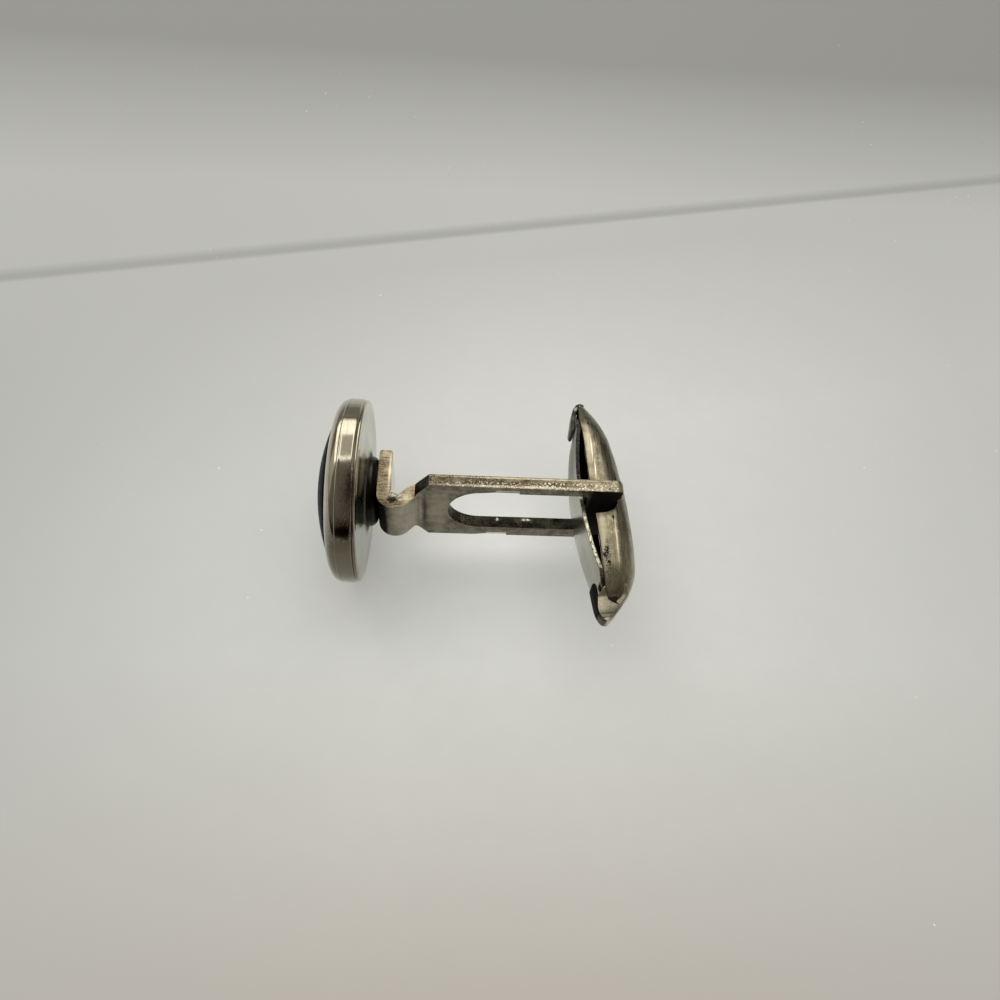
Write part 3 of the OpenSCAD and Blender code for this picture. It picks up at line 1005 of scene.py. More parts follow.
@dataclass
class Head:
    """Bezel, stone, back plate and boss, turned about the head's axis.

    Heights run from the boss's outer face toward the stone, and radii from the axis.
    """

    finishes: Finishes
    boss_t: float = 0.7
    rise: float = 1.05
    lean: float = -1.2
    lean_x: float = -1.5
    band_r: float = 7.02
    band_low: float = 0.46
    band_foot: float = 0.22
    band_crown: float = 0.016
    line_z: float = 1.45
    line_w: float = 0.13
    line_h: float = 0.008
    shoulder_z: float = 1.63
    shoulder_power: float = 0.9
    lip_r: float = 5.25
    lip_z: float = 2.58
    pocket_r: float = 5.54
    pocket_z: float = 2.16
    seat_r: float = 6.2
    step_z: float = 1.05
    flange_z: float = 0.29
    flange_w: float = 0.5
    bead_r: float = 0.16
    stone_r: float = 5.5
    stone_z: float = 1.45
    stone_step: Point2 = (2.08, 2.14)
    dome_z: float = 2.6
    dome_h: float = 1.17
    boss_r: float = 2.72
    boss_top: float = 0.1
    wear: float = 0.007
    sharp: float = 34.0

    def place(self, lean: float) -> Matrix:
        """Matrix from the head's upright millimetres to the frame's.

        Args:
            lean: How far the piece leans, in degrees.

        Returns:
            The matrix.
        """
        middle = Matrix.Translation((self.lean_x, self.rise, 0))
        tipped = middle @ Matrix.Rotation(math.radians(lean), 4, "Z")
        upright = Matrix.Rotation(math.radians(-90), 4, "Y")
        return tipped @ Matrix.Translation((-self.lean_x - self.boss_t, 0, 0)) @ upright

    def turned(self, name: str, profile: Sequence[Point2], closed: bool, sharp: float) -> Object:
        """Turns a profile into a piece that leans with the head.

        Args:
            name: Name of the piece.
            profile: Points of (radius, height).
            closed: Whether the profile is a closed loop.
            sharp: Angle in degrees over which an edge stays sharp.

        Returns:
            The piece.
        """
        return mesh_object(name, lathe(profile, closed), self.place(self.lean), sharp)

    def dome(self, radius: float) -> float:
        """Height of the stone's dome at a distance from the axis."""
        sphere = (self.stone_r**2 + self.dome_h**2) / (2 * self.dome_h)
        return self.dome_z + self.dome_h - sphere + math.sqrt(sphere**2 - radius**2)

    def band(self) -> list[Point2]:
        """Profile of the ring's outside: foot, crowned band and fine raised line.

        Returns:
            Points of (radius, height) from the seat up to the shoulder.
        """
        low, face = self.band_low, self.band_r - 0.01
        start = low + self.band_foot
        foot = [
            (self.seat_r, low + 0.02, 0.0),
            (self.band_r - 0.14, low, 0.08),
            (self.band_r - 0.03, low + 0.14, 0.08),
            (face, start, 0.0),
        ]
        points = filleted(foot, closed=False)[:-1]
        for i in range(21):
            bulge = self.band_crown * math.sin(math.pi * (0.12 + 0.88 * i / 20))
            points.append((face + bulge, start + (self.line_z - start) * i / 20))
        for i in range(9):
            lift = self.line_h * math.sin(math.pi * i / 8)
            points.append((self.band_r + lift, self.line_z + 0.03 + self.line_w * i / 8))
        return points

    def bezel(self) -> Object:
        """Ring with a crowned band, a fine raised line and a rounded shoulder.

        Returns:
            The piece.
        """
        inner = self.lip_r + 0.05
        width, height = self.band_r - inner - 0.06, self.lip_z - self.shoulder_z
        shoulder = []
        for i in range(33):
            a = math.radians(2 + 86 * i / 32)
            lift = height * math.sin(a) ** self.shoulder_power
            shoulder.append((inner + width * math.cos(a), self.shoulder_z + lift))
        lip = [
            (self.lip_r + 0.09, self.lip_z, 0.0),
            (self.lip_r + 0.01, self.lip_z - 0.03, 0.05),
            (self.lip_r, 2.3, 0.0),
        ]
        inside = [(self.pocket_r, self.pocket_z), (self.pocket_r, self.step_z)]
        profile = self.band() + shoulder + filleted(lip, closed=False) + inside
        profile.append((self.seat_r, self.step_z))
        ring = self.turned("bezel_ring", profile, True, self.sharp)
        push_points(ring, self.worn, self.sharp)
        paint(ring, (self.finishes.bezel,))
        return carry(ring, Body.HEAD, "plated_head", "bezel")

    def worn(self, at: Vector, normal: Vector) -> Vector:
        """Slight unevenness of the worn plating, as a shift along the normal."""
        return normal * (noise.noise(at * 0.4) * self.wear)

    def plate_face(self, at: Vector, normal: Vector) -> PlateFace:
        """Finish for a face of the back plate, by how far from the axis it lies."""
        away = math.hypot(at.y - self.rise, at.z)
        return PlateFace.FLANGE if away > self.band_r - self.flange_w else PlateFace.BACK

    def back_plate(self) -> Object:
        """Plate with a rounded flange and a low cone round the boss.

        Returns:
            The piece.
        """
        top = self.band_low - 0.012
        bead = arc((self.band_r - self.bead_r - 0.1, top - 0.02), self.bead_r, -88, 0, 14)
        flat = [
            (0, 0.012, 0.0),
            (2.7, 0.012, 0.0),
            (3.3, 0.06, 0.35),
            (4.9, self.flange_z - 0.02, 0.8),
            (self.seat_r, self.flange_z - 0.06, 0.3),
            (bead[0][0] - 0.1, bead[0][1] + 0.01, 0.0),
        ]
        seat_r, step_z = self.seat_r - 0.06, self.step_z - 0.01
        inner = [(self.band_r - 0.11, top), (seat_r, top), (seat_r, step_z), (0, step_z)]
        profile = filleted(flat, closed=False) + bead + inner
        plate = self.turned("back_plate_disc", profile, False, self.sharp)
        paint(plate, (self.finishes.back, self.finishes.bezel), self.plate_face)
        return carry(plate, Body.HEAD, "plated_head", "back_plate")

    def stone(self) -> Object:
        """Domed stone whose straight edge stands a little out of the lip.

        Returns:
            The piece.
        """
        side = self.lip_r - 0.015
        low, high = self.stone_step
        profile = [(0, self.stone_z), (self.stone_r, self.stone_z)]
        profile += [(self.stone_r, low), (side, high)]
        profile += [(side, self.dome(side) - 0.07), (side - 0.015, self.dome(side) - 0.025)]
        radii = [(side - 0.05) * math.cos(math.pi / 2 * i / 48) for i in range(48)]
        profile += [(r, self.dome(r)) for r in radii + [0]]
        gem = self.turned("domed_stone", profile, False, ROUND_SHARP)
        paint(gem, (self.finishes.stone,))
        return carry(gem, Body.HEAD, "dark_stone", "stone")

    def boss(self) -> Object:
        """Short block between the head and the post, which doesn't lean; its dark tone is painted
        shade.

        Returns:
            The piece.
        """
        foot = -self.boss_t
        corners = [
            (0, foot, 0.0),
            (2.25, foot, 0.2),
            (self.boss_r - 0.1, foot + 0.24, 0.25),
            (self.boss_r, -0.02, 0.1),
            (self.boss_r, self.boss_top, 0),
            (0, self.boss_top, 0.0),
        ]
        shape = lathe(filleted(corners, closed=False), closed=False)
        block = mesh_object("post_boss", shape, self.place(0), self.sharp)
        paint(block, (self.finishes.boss,))
        return carry(block, Body.HEAD, "boss_metal", "boss")

    def bed(self) -> None:
        """Gives the cement bed, hidden under the stone, its own finish."""
        paint(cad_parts["stone_bed"], (self.finishes.cement,))

    def build(self) -> None:
        """Makes every piece of the head."""
        for make in (self.bezel, self.back_plate, self.stone, self.boss, self.bed):
            make()


# ---------------------------------------------------------------- the post


@dataclass(frozen=True)
class Coin:
    """Shallow strip that is pressed into the near side of an arm's lower edge."""

    name: str
    start: float
    end: float
    z: float


@dataclass(frozen=True)
class Chip:
    """Torn scrap of metal: its middle, its half sizes and its turn in radians."""

    middle: Point3
    half: Point3
    turn: float


@dataclass
class ForkPost:
    """The strap: foot, bends and fork, with sheared edges and a punched slot."""

    finishes: Finishes
    slot: tuple[float, float, float, float] = (5.3, 15.6, -2.3, 2.7)
    slot_slack: float = 0.06
    flank: Point2 = (2.7, 3.95)
    foot_end: float = 1.6
    half_t: float = 0.5
    soft_edge: float = 0.085
    edge_angle: float = 38.0
    doubled: float = 0.0005
    flat_angle: float = 0.4
    coin_t: float = 0.1
    coin_w: float = 0.42
    coins: tuple[Coin, ...] = (
        Coin("coin_by_slot", 7.4, 10.55, 2.7),
        Coin("coin_below", 7.1, 10.1, -3.5),
    )
    end_swell: float = 0.24
    swell_x: Point2 = (16.9, 18.0)
    swell_z: Point2 = (2.2, 2.5)
    chips: tuple[Chip, ...] = (
        Chip((1.12, -0.28, 2.12), (0.16, 0.14, 0.08), 0.3),
        Chip((1.42, -0.42, 2.12), (0.2, 0.1, 0.09), -0.5),
        Chip((1.75, -0.62, 2.12), (0.2, 0.11, 0.09), 0.5),
        Chip((0.98, -0.5, 2.1), (0.07, 0.16, 0.05), 0.2),
        Chip((1.78, -0.98, 2.1), (0.15, 0.08, 0.05), -0.4),
    )

    def strap(self) -> Object:
        """Coins and rounds the strap's edges and gives each kind of face its finish.

        Returns:
            The piece.
        """
        strap = add_object("fork_strap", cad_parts["fork_post"].data.copy())
        rework(strap.data, self.clean)
        rework(strap.data, self.swell_end)
        for coin in self.coins:
            subtract(strap, self.coin_cutter(coin))
        looks = self.finishes
        paint(strap, (looks.face, looks.edge, looks.wall, looks.worn, looks.coined, looks.foot))
        soften_edges(strap, self.soft_edge, 3, self.edge_angle, StrapFace.WORN_AND_SHEEN)
        for polygon in strap.data.polygons:
            if polygon.material_index != StrapFace.WORN_AND_SHEEN:
                polygon.material_index = self.kind(polygon.center / MM, polygon.normal)
        return carry(strap, Body.HEAD, "strap_metal", "fork_post")

    def clean(self, work: bmesh.types.BMesh) -> None:
        """Joins the solid's doubled points and its flat triangles.

        Args:
            work: The strap's mesh, open for changes.
        """
        bmesh.ops.remove_doubles(work, verts=work.verts, dist=self.doubled * MM)
        flat = math.radians(self.flat_angle)
        bmesh.ops.dissolve_limit(work, angle_limit=flat, verts=work.verts, edges=work.edges)

    def swell_end(self, work: bmesh.types.BMesh) -> None:
        """Spreads the bar's end a little where it stands out beside the toggle's walls.

        Args:
            work: The strap's mesh, open for changes.
        """
        for z in (-2.5, -2.15, 2.15, 2.5):
            parts = work.verts[:] + work.edges[:] + work.faces[:]
            bmesh.ops.bisect_plane(work, geom=parts, plane_co=(0, 0, z * MM), plane_no=(0, 0, 1))
        for vertex in work.verts:
            x, z = vertex.co.x / MM, abs(vertex.co.z / MM)
            share = smooth_step(*self.swell_x, x) * smooth_step(*self.swell_z, z)
            vertex.co.x += self.end_swell * share * MM

    def coin_cutter(self, coin: Coin) -> Object:
        """Wedge that takes a strip off an edge.

        Args:
            coin: The strip.

        Returns:
            The wedge.
        """
        near, over = -self.half_t, 0.3
        low, high = coin.z - over, coin.z + self.coin_w + over
        run = over * self.coin_t / self.coin_w
        outline = [(near - over, low), (near - over, high), (near - run, high)]
        outline.append((near + self.coin_t + run, low))
        places = ((coin.start, -self.coin_t * 1.3), (coin.start + 1.4, 0.0), (coin.end, 0.0))
        rows = [[Vector((x, y + shift, z)) for y, z in outline] for x, shift in places]
        return mesh_object(coin.name, loft(rows), Matrix())

    def kind(self, at: Vector, normal: Vector) -> StrapFace:
        """Finish for a face, by its place and the way that it looks.

        Args:
            at: Middle of the face in millimetres.
            normal: Its normal.

        Returns:
            The finish.
        """
        start, end, low, high = self.slot
        upright = abs(normal.y) < 0.6
        in_slot = (
            start - self.slot_slack < at.x < end + 0.3
            and low - self.slot_slack < at.z < high + self.slot_slack
        )
        on_flank = self.flank[0] < at.x < self.flank[1] and 0.2 < abs(normal.z) < 0.9
        if upright and (in_slot or on_flank):
            return StrapFace.PUNCHED
        if 0.9 < -normal.y < 0.995 and abs(normal.x) < 0.02 and at.x > start:
            return StrapFace.COINED
        if abs(normal.z) > 0.75:
            return StrapFace.FOOT if at.x < self.foot_end else StrapFace.SHEARED
        return StrapFace.BROAD

    def burr(self) -> Object:
        """Torn chips of metal in the inner corner of the bend.

        Returns:
            The piece.
        """
        work = bmesh.new()
        lumps = 0.35
        for chip in self.chips:
            place, spin = Vector(chip.middle), Matrix.Rotation(chip.turn, 3, "Z")
            for vertex in bmesh.ops.create_icosphere(work, subdivisions=3, radius=1.0)["verts"]:
                p = vertex.co * (1 + lumps * noise.noise(vertex.co * 1.7 + place * 3))
                vertex.co = (place + spin @ (p * Vector(chip.half))) * MM
        mesh = bpy.data.meshes.new("bend_burr")
        work.to_mesh(mesh)
        work.free()
        shade(mesh, 30)
        burr = add_object("bend_burr", mesh)
        paint(burr, (self.finishes.burr,))
        return carry(burr, Body.HEAD, "strap_metal")

    def build(self) -> None:
        """Makes the strap and its burr."""
        self.strap()
        self.burr()


# ---------------------------------------------------------------- the toggle


@dataclass
class Toggle:
    """Folded sheet toggle with its lips and its leaf spring, drawn about the pivot.

    Heights run up the toggle, and places along X away from the head. Each arc of the back
    gives its centre and its radius, and each table of the rim and walls (height, place).
    """

    finishes: Finishes
    pivot_x: float = 16.85
    lean: float = 2.4
    half_w: float = 1.95
    top: float = 10.35
    bottom: float = -9.5
    sheet: float = 0.38
    taper_r: float = 21.7
    shoulder: float = 0.45
    nose_r: float = 0.6
    upper_arc: Point3 = (-10.02, 3.58, 12.0)
    middle_arc: Point3 = (-42.62, -1.7, 45.0)
    lower_arc: Point3 = (-2.92, -4.62, 5.2)
    arc_ends: Point2 = (-5.0, 5.5)
    outside: Point2 = (-8.72, 10.1)
    hollow: Point2 = (-8.2, 9.5)
    hollow_mouth: float = -2.0
    wall_steps: int = 6
    back_steps: int = 32
    back_power: float = 0.92
    side_power: float = 0.86
    soft_edge: float = 0.05
    edge_angle: float = 42.0
    ripple: float = 0.025
    fold_ripple: float = 0.02
    notch_r: float = 1.34
    notch_x: float = -0.27
    notch_round: float = 0.4
    dimple: Point3 = (0.2, -8.05, 1.15)
    dimple_r: float = 0.42
    dimple_t: float = 0.2
    leaf_ends: Point2 = (-7.2, 8.4)
    leaf_half_w: float = 1.84
    leaf_t: float = 0.32
    leaf_arc: Point3 = (28.748, 0.9, 30.4)
    tongue_inset: float = 0.6
    tongue_start: Point2 = (1.7, 1.4)
    tip_half_w: float = 0.3
    tip_spread: float = 1.3
    end_span: Point2 = (6.95, 9.46)
    end_slim: float = 0.52
    corner: float = 0.08
    rim: tuple[Point2, ...] = (
        (-8.8, 1.1), (-8.43, 0.55), (-8.1, -0.05), (-7.6, -0.3), (-7.0, -0.42), (-6.0, -0.48),
        (-4.0, -0.5), (-1.3, -0.56), (1.9, -0.66), (5.0, -0.67), (8.2, -0.62), (9.6, -0.4),
        (10.35, -0.2),
    )
    wall_top: tuple[Point2, ...] = (
        (-9.5, -0.4), (-8.4, 0.0), (-7.3, 0.3), (-4.6, 0.78), (-2.4, 0.86), (1.9, 0.42),
        (3.5, 0.25), (4.8, 0.05), (7.5, -0.4), (9.0, -0.5), (10.35, -0.35),
    )
    upper_lip: tuple[Point2, ...] = (
        (-1.4, 7.2), (-1.3, 7.8), (-1.18, 8.4), (-1.05, 9.0), (-0.9, 9.5), (-0.7, 9.92),
        (-0.42, 10.2), (-0.1, 10.26), (0.16, 10.08),
    )
    lower_lip: tuple[Point2, ...] = (
        (-1.26, -6.55), (-1.22, -7.1), (-1.16, -7.8), (-1.1, -8.45), (-0.93, -9.05),
        (-0.66, -9.42), (-0.32, -9.42), (0.05, -9.1), (0.45, -8.65), (0.85, -8.2), (1.15, -7.75),
    )
    end_front: tuple[Point2, ...] = (
        (6.95, -0.45), (7.3, -0.75), (7.6, -0.95), (8.0, -1.03), (8.43, -1.05), (8.9, -0.94),
        (9.25, -0.72), (9.46, -0.45),
    )
    end_back: tuple[Point2, ...] = (
        (6.95, 1.2), (7.65, 1.2), (8.1, 0.9), (8.43, 0.6), (8.88, 0.32), (9.2, 0.0), (9.46, -0.32),
    )

    def place(self) -> Matrix:
        """Matrix from millimetres about the pivot to the frame's."""
        turn = Matrix.Rotation(math.radians(self.lean), 4, "Z")
        return Matrix.Translation((self.pivot_x, 0, 0)) @ turn

    def back(self, y: float) -> float:
        """Place of the toggle's back at a height: three joined arcs.

        Args:
            y: Height over the pivot.

        Returns:
            Distance behind the pivot.
        """
        low, high = self.arc_ends
        outer = self.upper_arc if y > high else self.lower_arc
        x, mid, radius = self.middle_arc if low <= y <= high else outer
        return x + math.sqrt(max(0.0, radius**2 - (y - mid) ** 2))

    def width(self, y: float) -> float:
        """Half width of the toggle at a height.

        Args:
            y: Height over the pivot.

        Returns:
            The half width, with a soft start of the taper and round noses.
        """
        nose_y = (self.top - self.bottom) / 2 - self.nose_r
        taper_z = math.sqrt((self.taper_r - self.nose_r) ** 2 - nose_y**2)
        off = abs(y - (self.top + self.bottom) / 2)
        if off > nose_y:
            return max(0.02, math.sqrt(max(0.0, self.nose_r**2 - (off - nose_y) ** 2)))
        taper = math.sqrt(self.taper_r**2 - off**2) - taper_z
        near = max(0.0, 1 - abs(taper - self.half_w) / self.shoulder)
        return min(self.half_w, taper) - near**2 * self.shoulder / 4

    def section(self, y: float, inset: float, mouth: float) -> list[Vector]:
        """Closed section of the toggle at a height.

        Args:
            y: Height over the pivot.
            inset: How far the section lies inside the outside of the sheet.
            mouth: Where the open side lies, along X.

        Returns:
            Points from the near rim over the back to the far rim.
        """
        w = max(0.03, self.width(y) - inset)
        back = self.back(y) - inset
        shoulder = max(mouth + 0.03, min(along(self.wall_top, y), back - 0.1))
        crown = max(0.05, back - shoulder)
        n = self.wall_steps
        points = [Vector((mouth + (shoulder - mouth) * i / n, y, w)) for i in range(n)]
        for i in range(self.back_steps + 1):
            a = math.pi * i / self.back_steps
            bulge = abs(math.sin(a)) ** self.back_power
            reach = math.copysign(abs(math.cos(a)) ** self.side_power, math.cos(a))
            points.append(Vector((shoulder + crown * bulge, y, w * reach)))
        points += [Vector((shoulder + (mouth - shoulder) * (i + 1) / n, y, -w)) for i in range(n)]
        return points

    def heights(self, span: Point2, count: int) -> list[float]:
        """Heights of a span, closer together near both ends.

        Args:
            span: Lowest and highest.
            count: Number of steps between them.

        Returns:
            The heights.
        """
        low, high = span
        shares = (0.5 - 0.5 * math.cos(math.pi * i / count) for i in range(count + 1))
        return [low + (high - low) * share for share in shares]

    def lip(self, path: Sequence[Point2], widths: Point2) -> Shape:
        """Tongue of the sheet folded over an end of the leaf spring.

        Args:
            path: Points of its outer face from the free edge on.
            widths: Its width at the free edge and at the fold.

        Returns:
            Vertices and faces.
        """
        spans = 5
        steps = spans * (len(path) - 1)
        xs, ys = (
            [along([(k, p[axis]) for k, p in enumerate(path)], i / spans) for i in range(steps + 1)]
            for axis in (0, 1)
        )
        side = math.copysign(1, path[0][1])
        thinned = {0: 0.45, 1: 0.8}
        rows = []
        for i in range(steps + 1):
            a, b = max(0, i - 1), min(steps, i + 1)
            direction = Vector((xs[b] - xs[a], ys[b] - ys[a])).normalized()
            inward = Vector((direction.y, -direction.x)) * side
            t = smooth_step(0.0, 0.75, i / steps)
            half = (widths[0] * (1 - t) + widths[1] * t) / 2
            thick = self.sheet * thinned.get(i, 1)
            ring = strip_ring((0, half, self.corner), (thick, half, self.corner), 3)
            edge = Vector((xs[i], ys[i])) + inward * (self.sheet - thick) / 2
            row = [(edge.x + inward.x * p, edge.y + inward.y * p, q) for p, q in ring]
            rows.append([Vector(point) for point in row])
        return loft(rows)

    def beak(self) -> Shape:
        """Closed lower end between the tongue and the side walls, narrow in front.

        Returns:
            Vertices and faces.
        """
        start, end = self.end_span
        rows = []
        for i in range(33):
            y = start + (end - start) * i / 32
            wide = max(self.width(-y) - 0.05, 0.5)
            slim = min(self.end_slim + 0.5 * smooth_step(start + 0.75, start, y), wide)
            front, back = along(self.end_front, y), along(self.end_back, y)
            ring = strip_ring((front, slim, 0.1), (back, wide, 0.14), 4)
            rows.append([Vector((p, -y, q)) for p, q in ring])
        return loft(rows)

    def notch(self) -> Shape:
        """Cutter for the notch in both side walls, where the bar of the fork turns.

        Returns:
            Vertices and faces.
        """
        front, corner, far = -3.0, self.notch_r + self.notch_round, 4.0
        outline = arc((0, 0), self.notch_r, -90, 90, 28) + [(self.notch_x, self.notch_r)]
        outline += arc((self.notch_x, corner), self.notch_round, -90, -180, 8)[1:]
        outline += [(front, corner), (front, -corner)]
        outline += arc((self.notch_x, -corner), self.notch_round, 180, 90, 8)
        return loft([[Vector((x, y, z)) for x, y in outline] for z in (-far, far)])

    def shell(self) -> Object:
        """The folded sheet with its notch.

        Returns:
            The piece.
        """
        place = self.place()
        outer = [
            self.section(y, 0, min(along(self.rim, y), self.back(y) - 0.12))
            for y in self.heights(self.outside, 150)
        ]
        inner = [
            self.section(y, self.sheet, self.hollow_mouth) for y in self.heights(self.hollow, 120)
        ]
        shell = mesh_object("toggle_body", loft(outer), place)
        subtract(shell, mesh_object("hollow", loft(inner), place))
        subtract(shell, mesh_object("notch", self.notch(), place))
        soften_edges(shell, self.soft_edge, 2, self.edge_angle)
        push_points(shell, self.crumpled, ROUND_SHARP)
        looks = self.finishes
        paint(shell, (looks.shell, looks.side, looks.inside), self.shell_face)
        return carry(shell, Body.TOGGLE, "shell_metal", "toggle_shell")

    def crumpled(self, at: Vector, normal: Vector) -> Vector:
        """Marks that folding and use leave in the sheet.

        Args:
            at: Place of a point in the frame's millimetres.
            normal: Its normal.

        Returns:
            Its shift.
        """
        p = self.place().inverted() @ at
        near = math.exp(-((p - Vector(self.dimple)).length / self.dimple_r) ** 2)
        return normal * (noise.noise(p * 0.9) * self.ripple - self.dimple_t * near)

    def shell_face(self, at: Vector, normal: Vector) -> ShellFace:
        """Finish for a face of the sheet: its back, a side wall or its inside.

        Args:
            at: Middle of the face in the frame's millimetres.
            normal: Its normal.

        Returns:
            The finish.
        """
        home = self.place().inverted()
        p, facing = home @ at, home.to_3x3() @ normal
        outward = facing.z * (1 if p.z > 0 else -1)
        depth = self.sheet * 0.7
        within = abs(p.z) < self.width(p.y) - depth and p.x < self.back(p.y) - depth
        off_rim = p.x > along(self.rim, p.y) - 0.02
        if within and off_rim and (outward < 0.2 or facing.x < -0.2):
            return ShellFace.INSIDE
        if outward > 0.5 and p.x < along(self.wall_top, p.y) + 0.12:
            return ShellFace.SIDE
        return ShellFace.BACK

    def folds(self) -> None:
        """The two tongues over the leaf's ends, and the folded lower end."""
        dark = self.finishes.fold
        for name, shape, finish in (
            ("upper_fold", self.lip(self.upper_lip, (1.6, 0.8)), dark),
            ("lower_fold", self.lip(self.lower_lip, (1.12, 0.95)), dark),
            ("lower_end", self.beak(), self.finishes.beak),
        ):
            fold = mesh_object(name, shape, self.place())
            push_points(fold, self.rippled, ROUND_SHARP)
            paint(fold, (finish, dark), self.fold_face)
            carry(fold, Body.TOGGLE, "shell_metal")

    def rippled(self, at: Vector, normal: Vector) -> Vector:
        """Slight unevenness of a fold, as a shift along the normal."""
        return normal * (noise.noise(at * 1.3) * self.fold_ripple)

    def fold_face(self, at: Vector, normal: Vector) -> FoldFace:
        """Finish for a face of a fold, by whether it looks at the head."""
        return FoldFace.TOWARD_HEAD if normal.x < -0.8 else FoldFace.OUTSIDE

    def leaf(self) -> Object:
        """Bowed leaf spring with narrow tongues at its ends.

        Returns:
            The piece.
        """
        low, high = self.leaf_ends
        centre_x, mid, radius = self.leaf_arc
        rows = []
        for y in self.heights(self.leaf_ends, 110):
            narrow = min(self.width(y) - self.tongue_inset, self.leaf_half_w)
            start, end = self.tongue_start
            share = 1 - smooth_step(high - start, high - end, y)
            tip = self.tip_half_w + self.tip_spread * (y - low)
            half = min(narrow + (self.leaf_half_w - narrow) * share, tip)
            slope = math.asin((y - mid) / radius)
            inward = Vector((math.cos(slope), -math.sin(slope), 0))
            base = Vector((centre_x - math.sqrt(radius**2 - (y - mid) ** 2), y, 0))
            ring = strip_ring((0, half, self.corner), (self.leaf_t, half, self.corner), 4)
            rows.append([base + inward * a + Vector((0, 0, b)) for a, b in ring])
        leaf = mesh_object("bowed_leaf", loft(rows), self.place())
        paint(leaf, (self.finishes.leaf, self.finishes.leaf_edge), self.leaf_face)
        return carry(leaf, Body.TOGGLE, "spring_metal", "leaf_spring")

    def leaf_face(self, at: Vector, normal: Vector) -> LeafFace:
        """Finish for a face of the leaf, by whether it looks sideways."""
        return LeafFace.EDGE if abs(normal.z) > 0.5 else LeafFace.BROAD

    def build(self) -> None:
        """Makes the shell, its folds and the leaf."""
        for make in (self.shell, self.folds, self.leaf):
            make()


# ---------------------------------------------------------------- studio


@dataclass(frozen=True)
class Shading:
    """Tone that the table takes on along a direction, between two distances."""

    direction: Point3
    low: float
    high: float
    share: float
    tone: Colour

    def over(self, w: Wiring, tone: Socket) -> Socket:
        """Lays this tone over another."""
        share = w.toward(self.direction, self.low, self.high, 0, self.share)
        return w.blend(share, tone, self.tone)


@dataclass(frozen=True)
class Card:
    """Glowing card that only reflections see, facing the cufflink."""

    name: str
    size: Point2
    at: Point3
    colour: Colour
    strength: float = 1.0


@dataclass(frozen=True)
class Lamp:
    """Soft rectangular lamp for the matt surfaces, aimed at the cufflink."""

    name: str
    size: Point2
    at: Point3
    colour: Colour
    watts: float


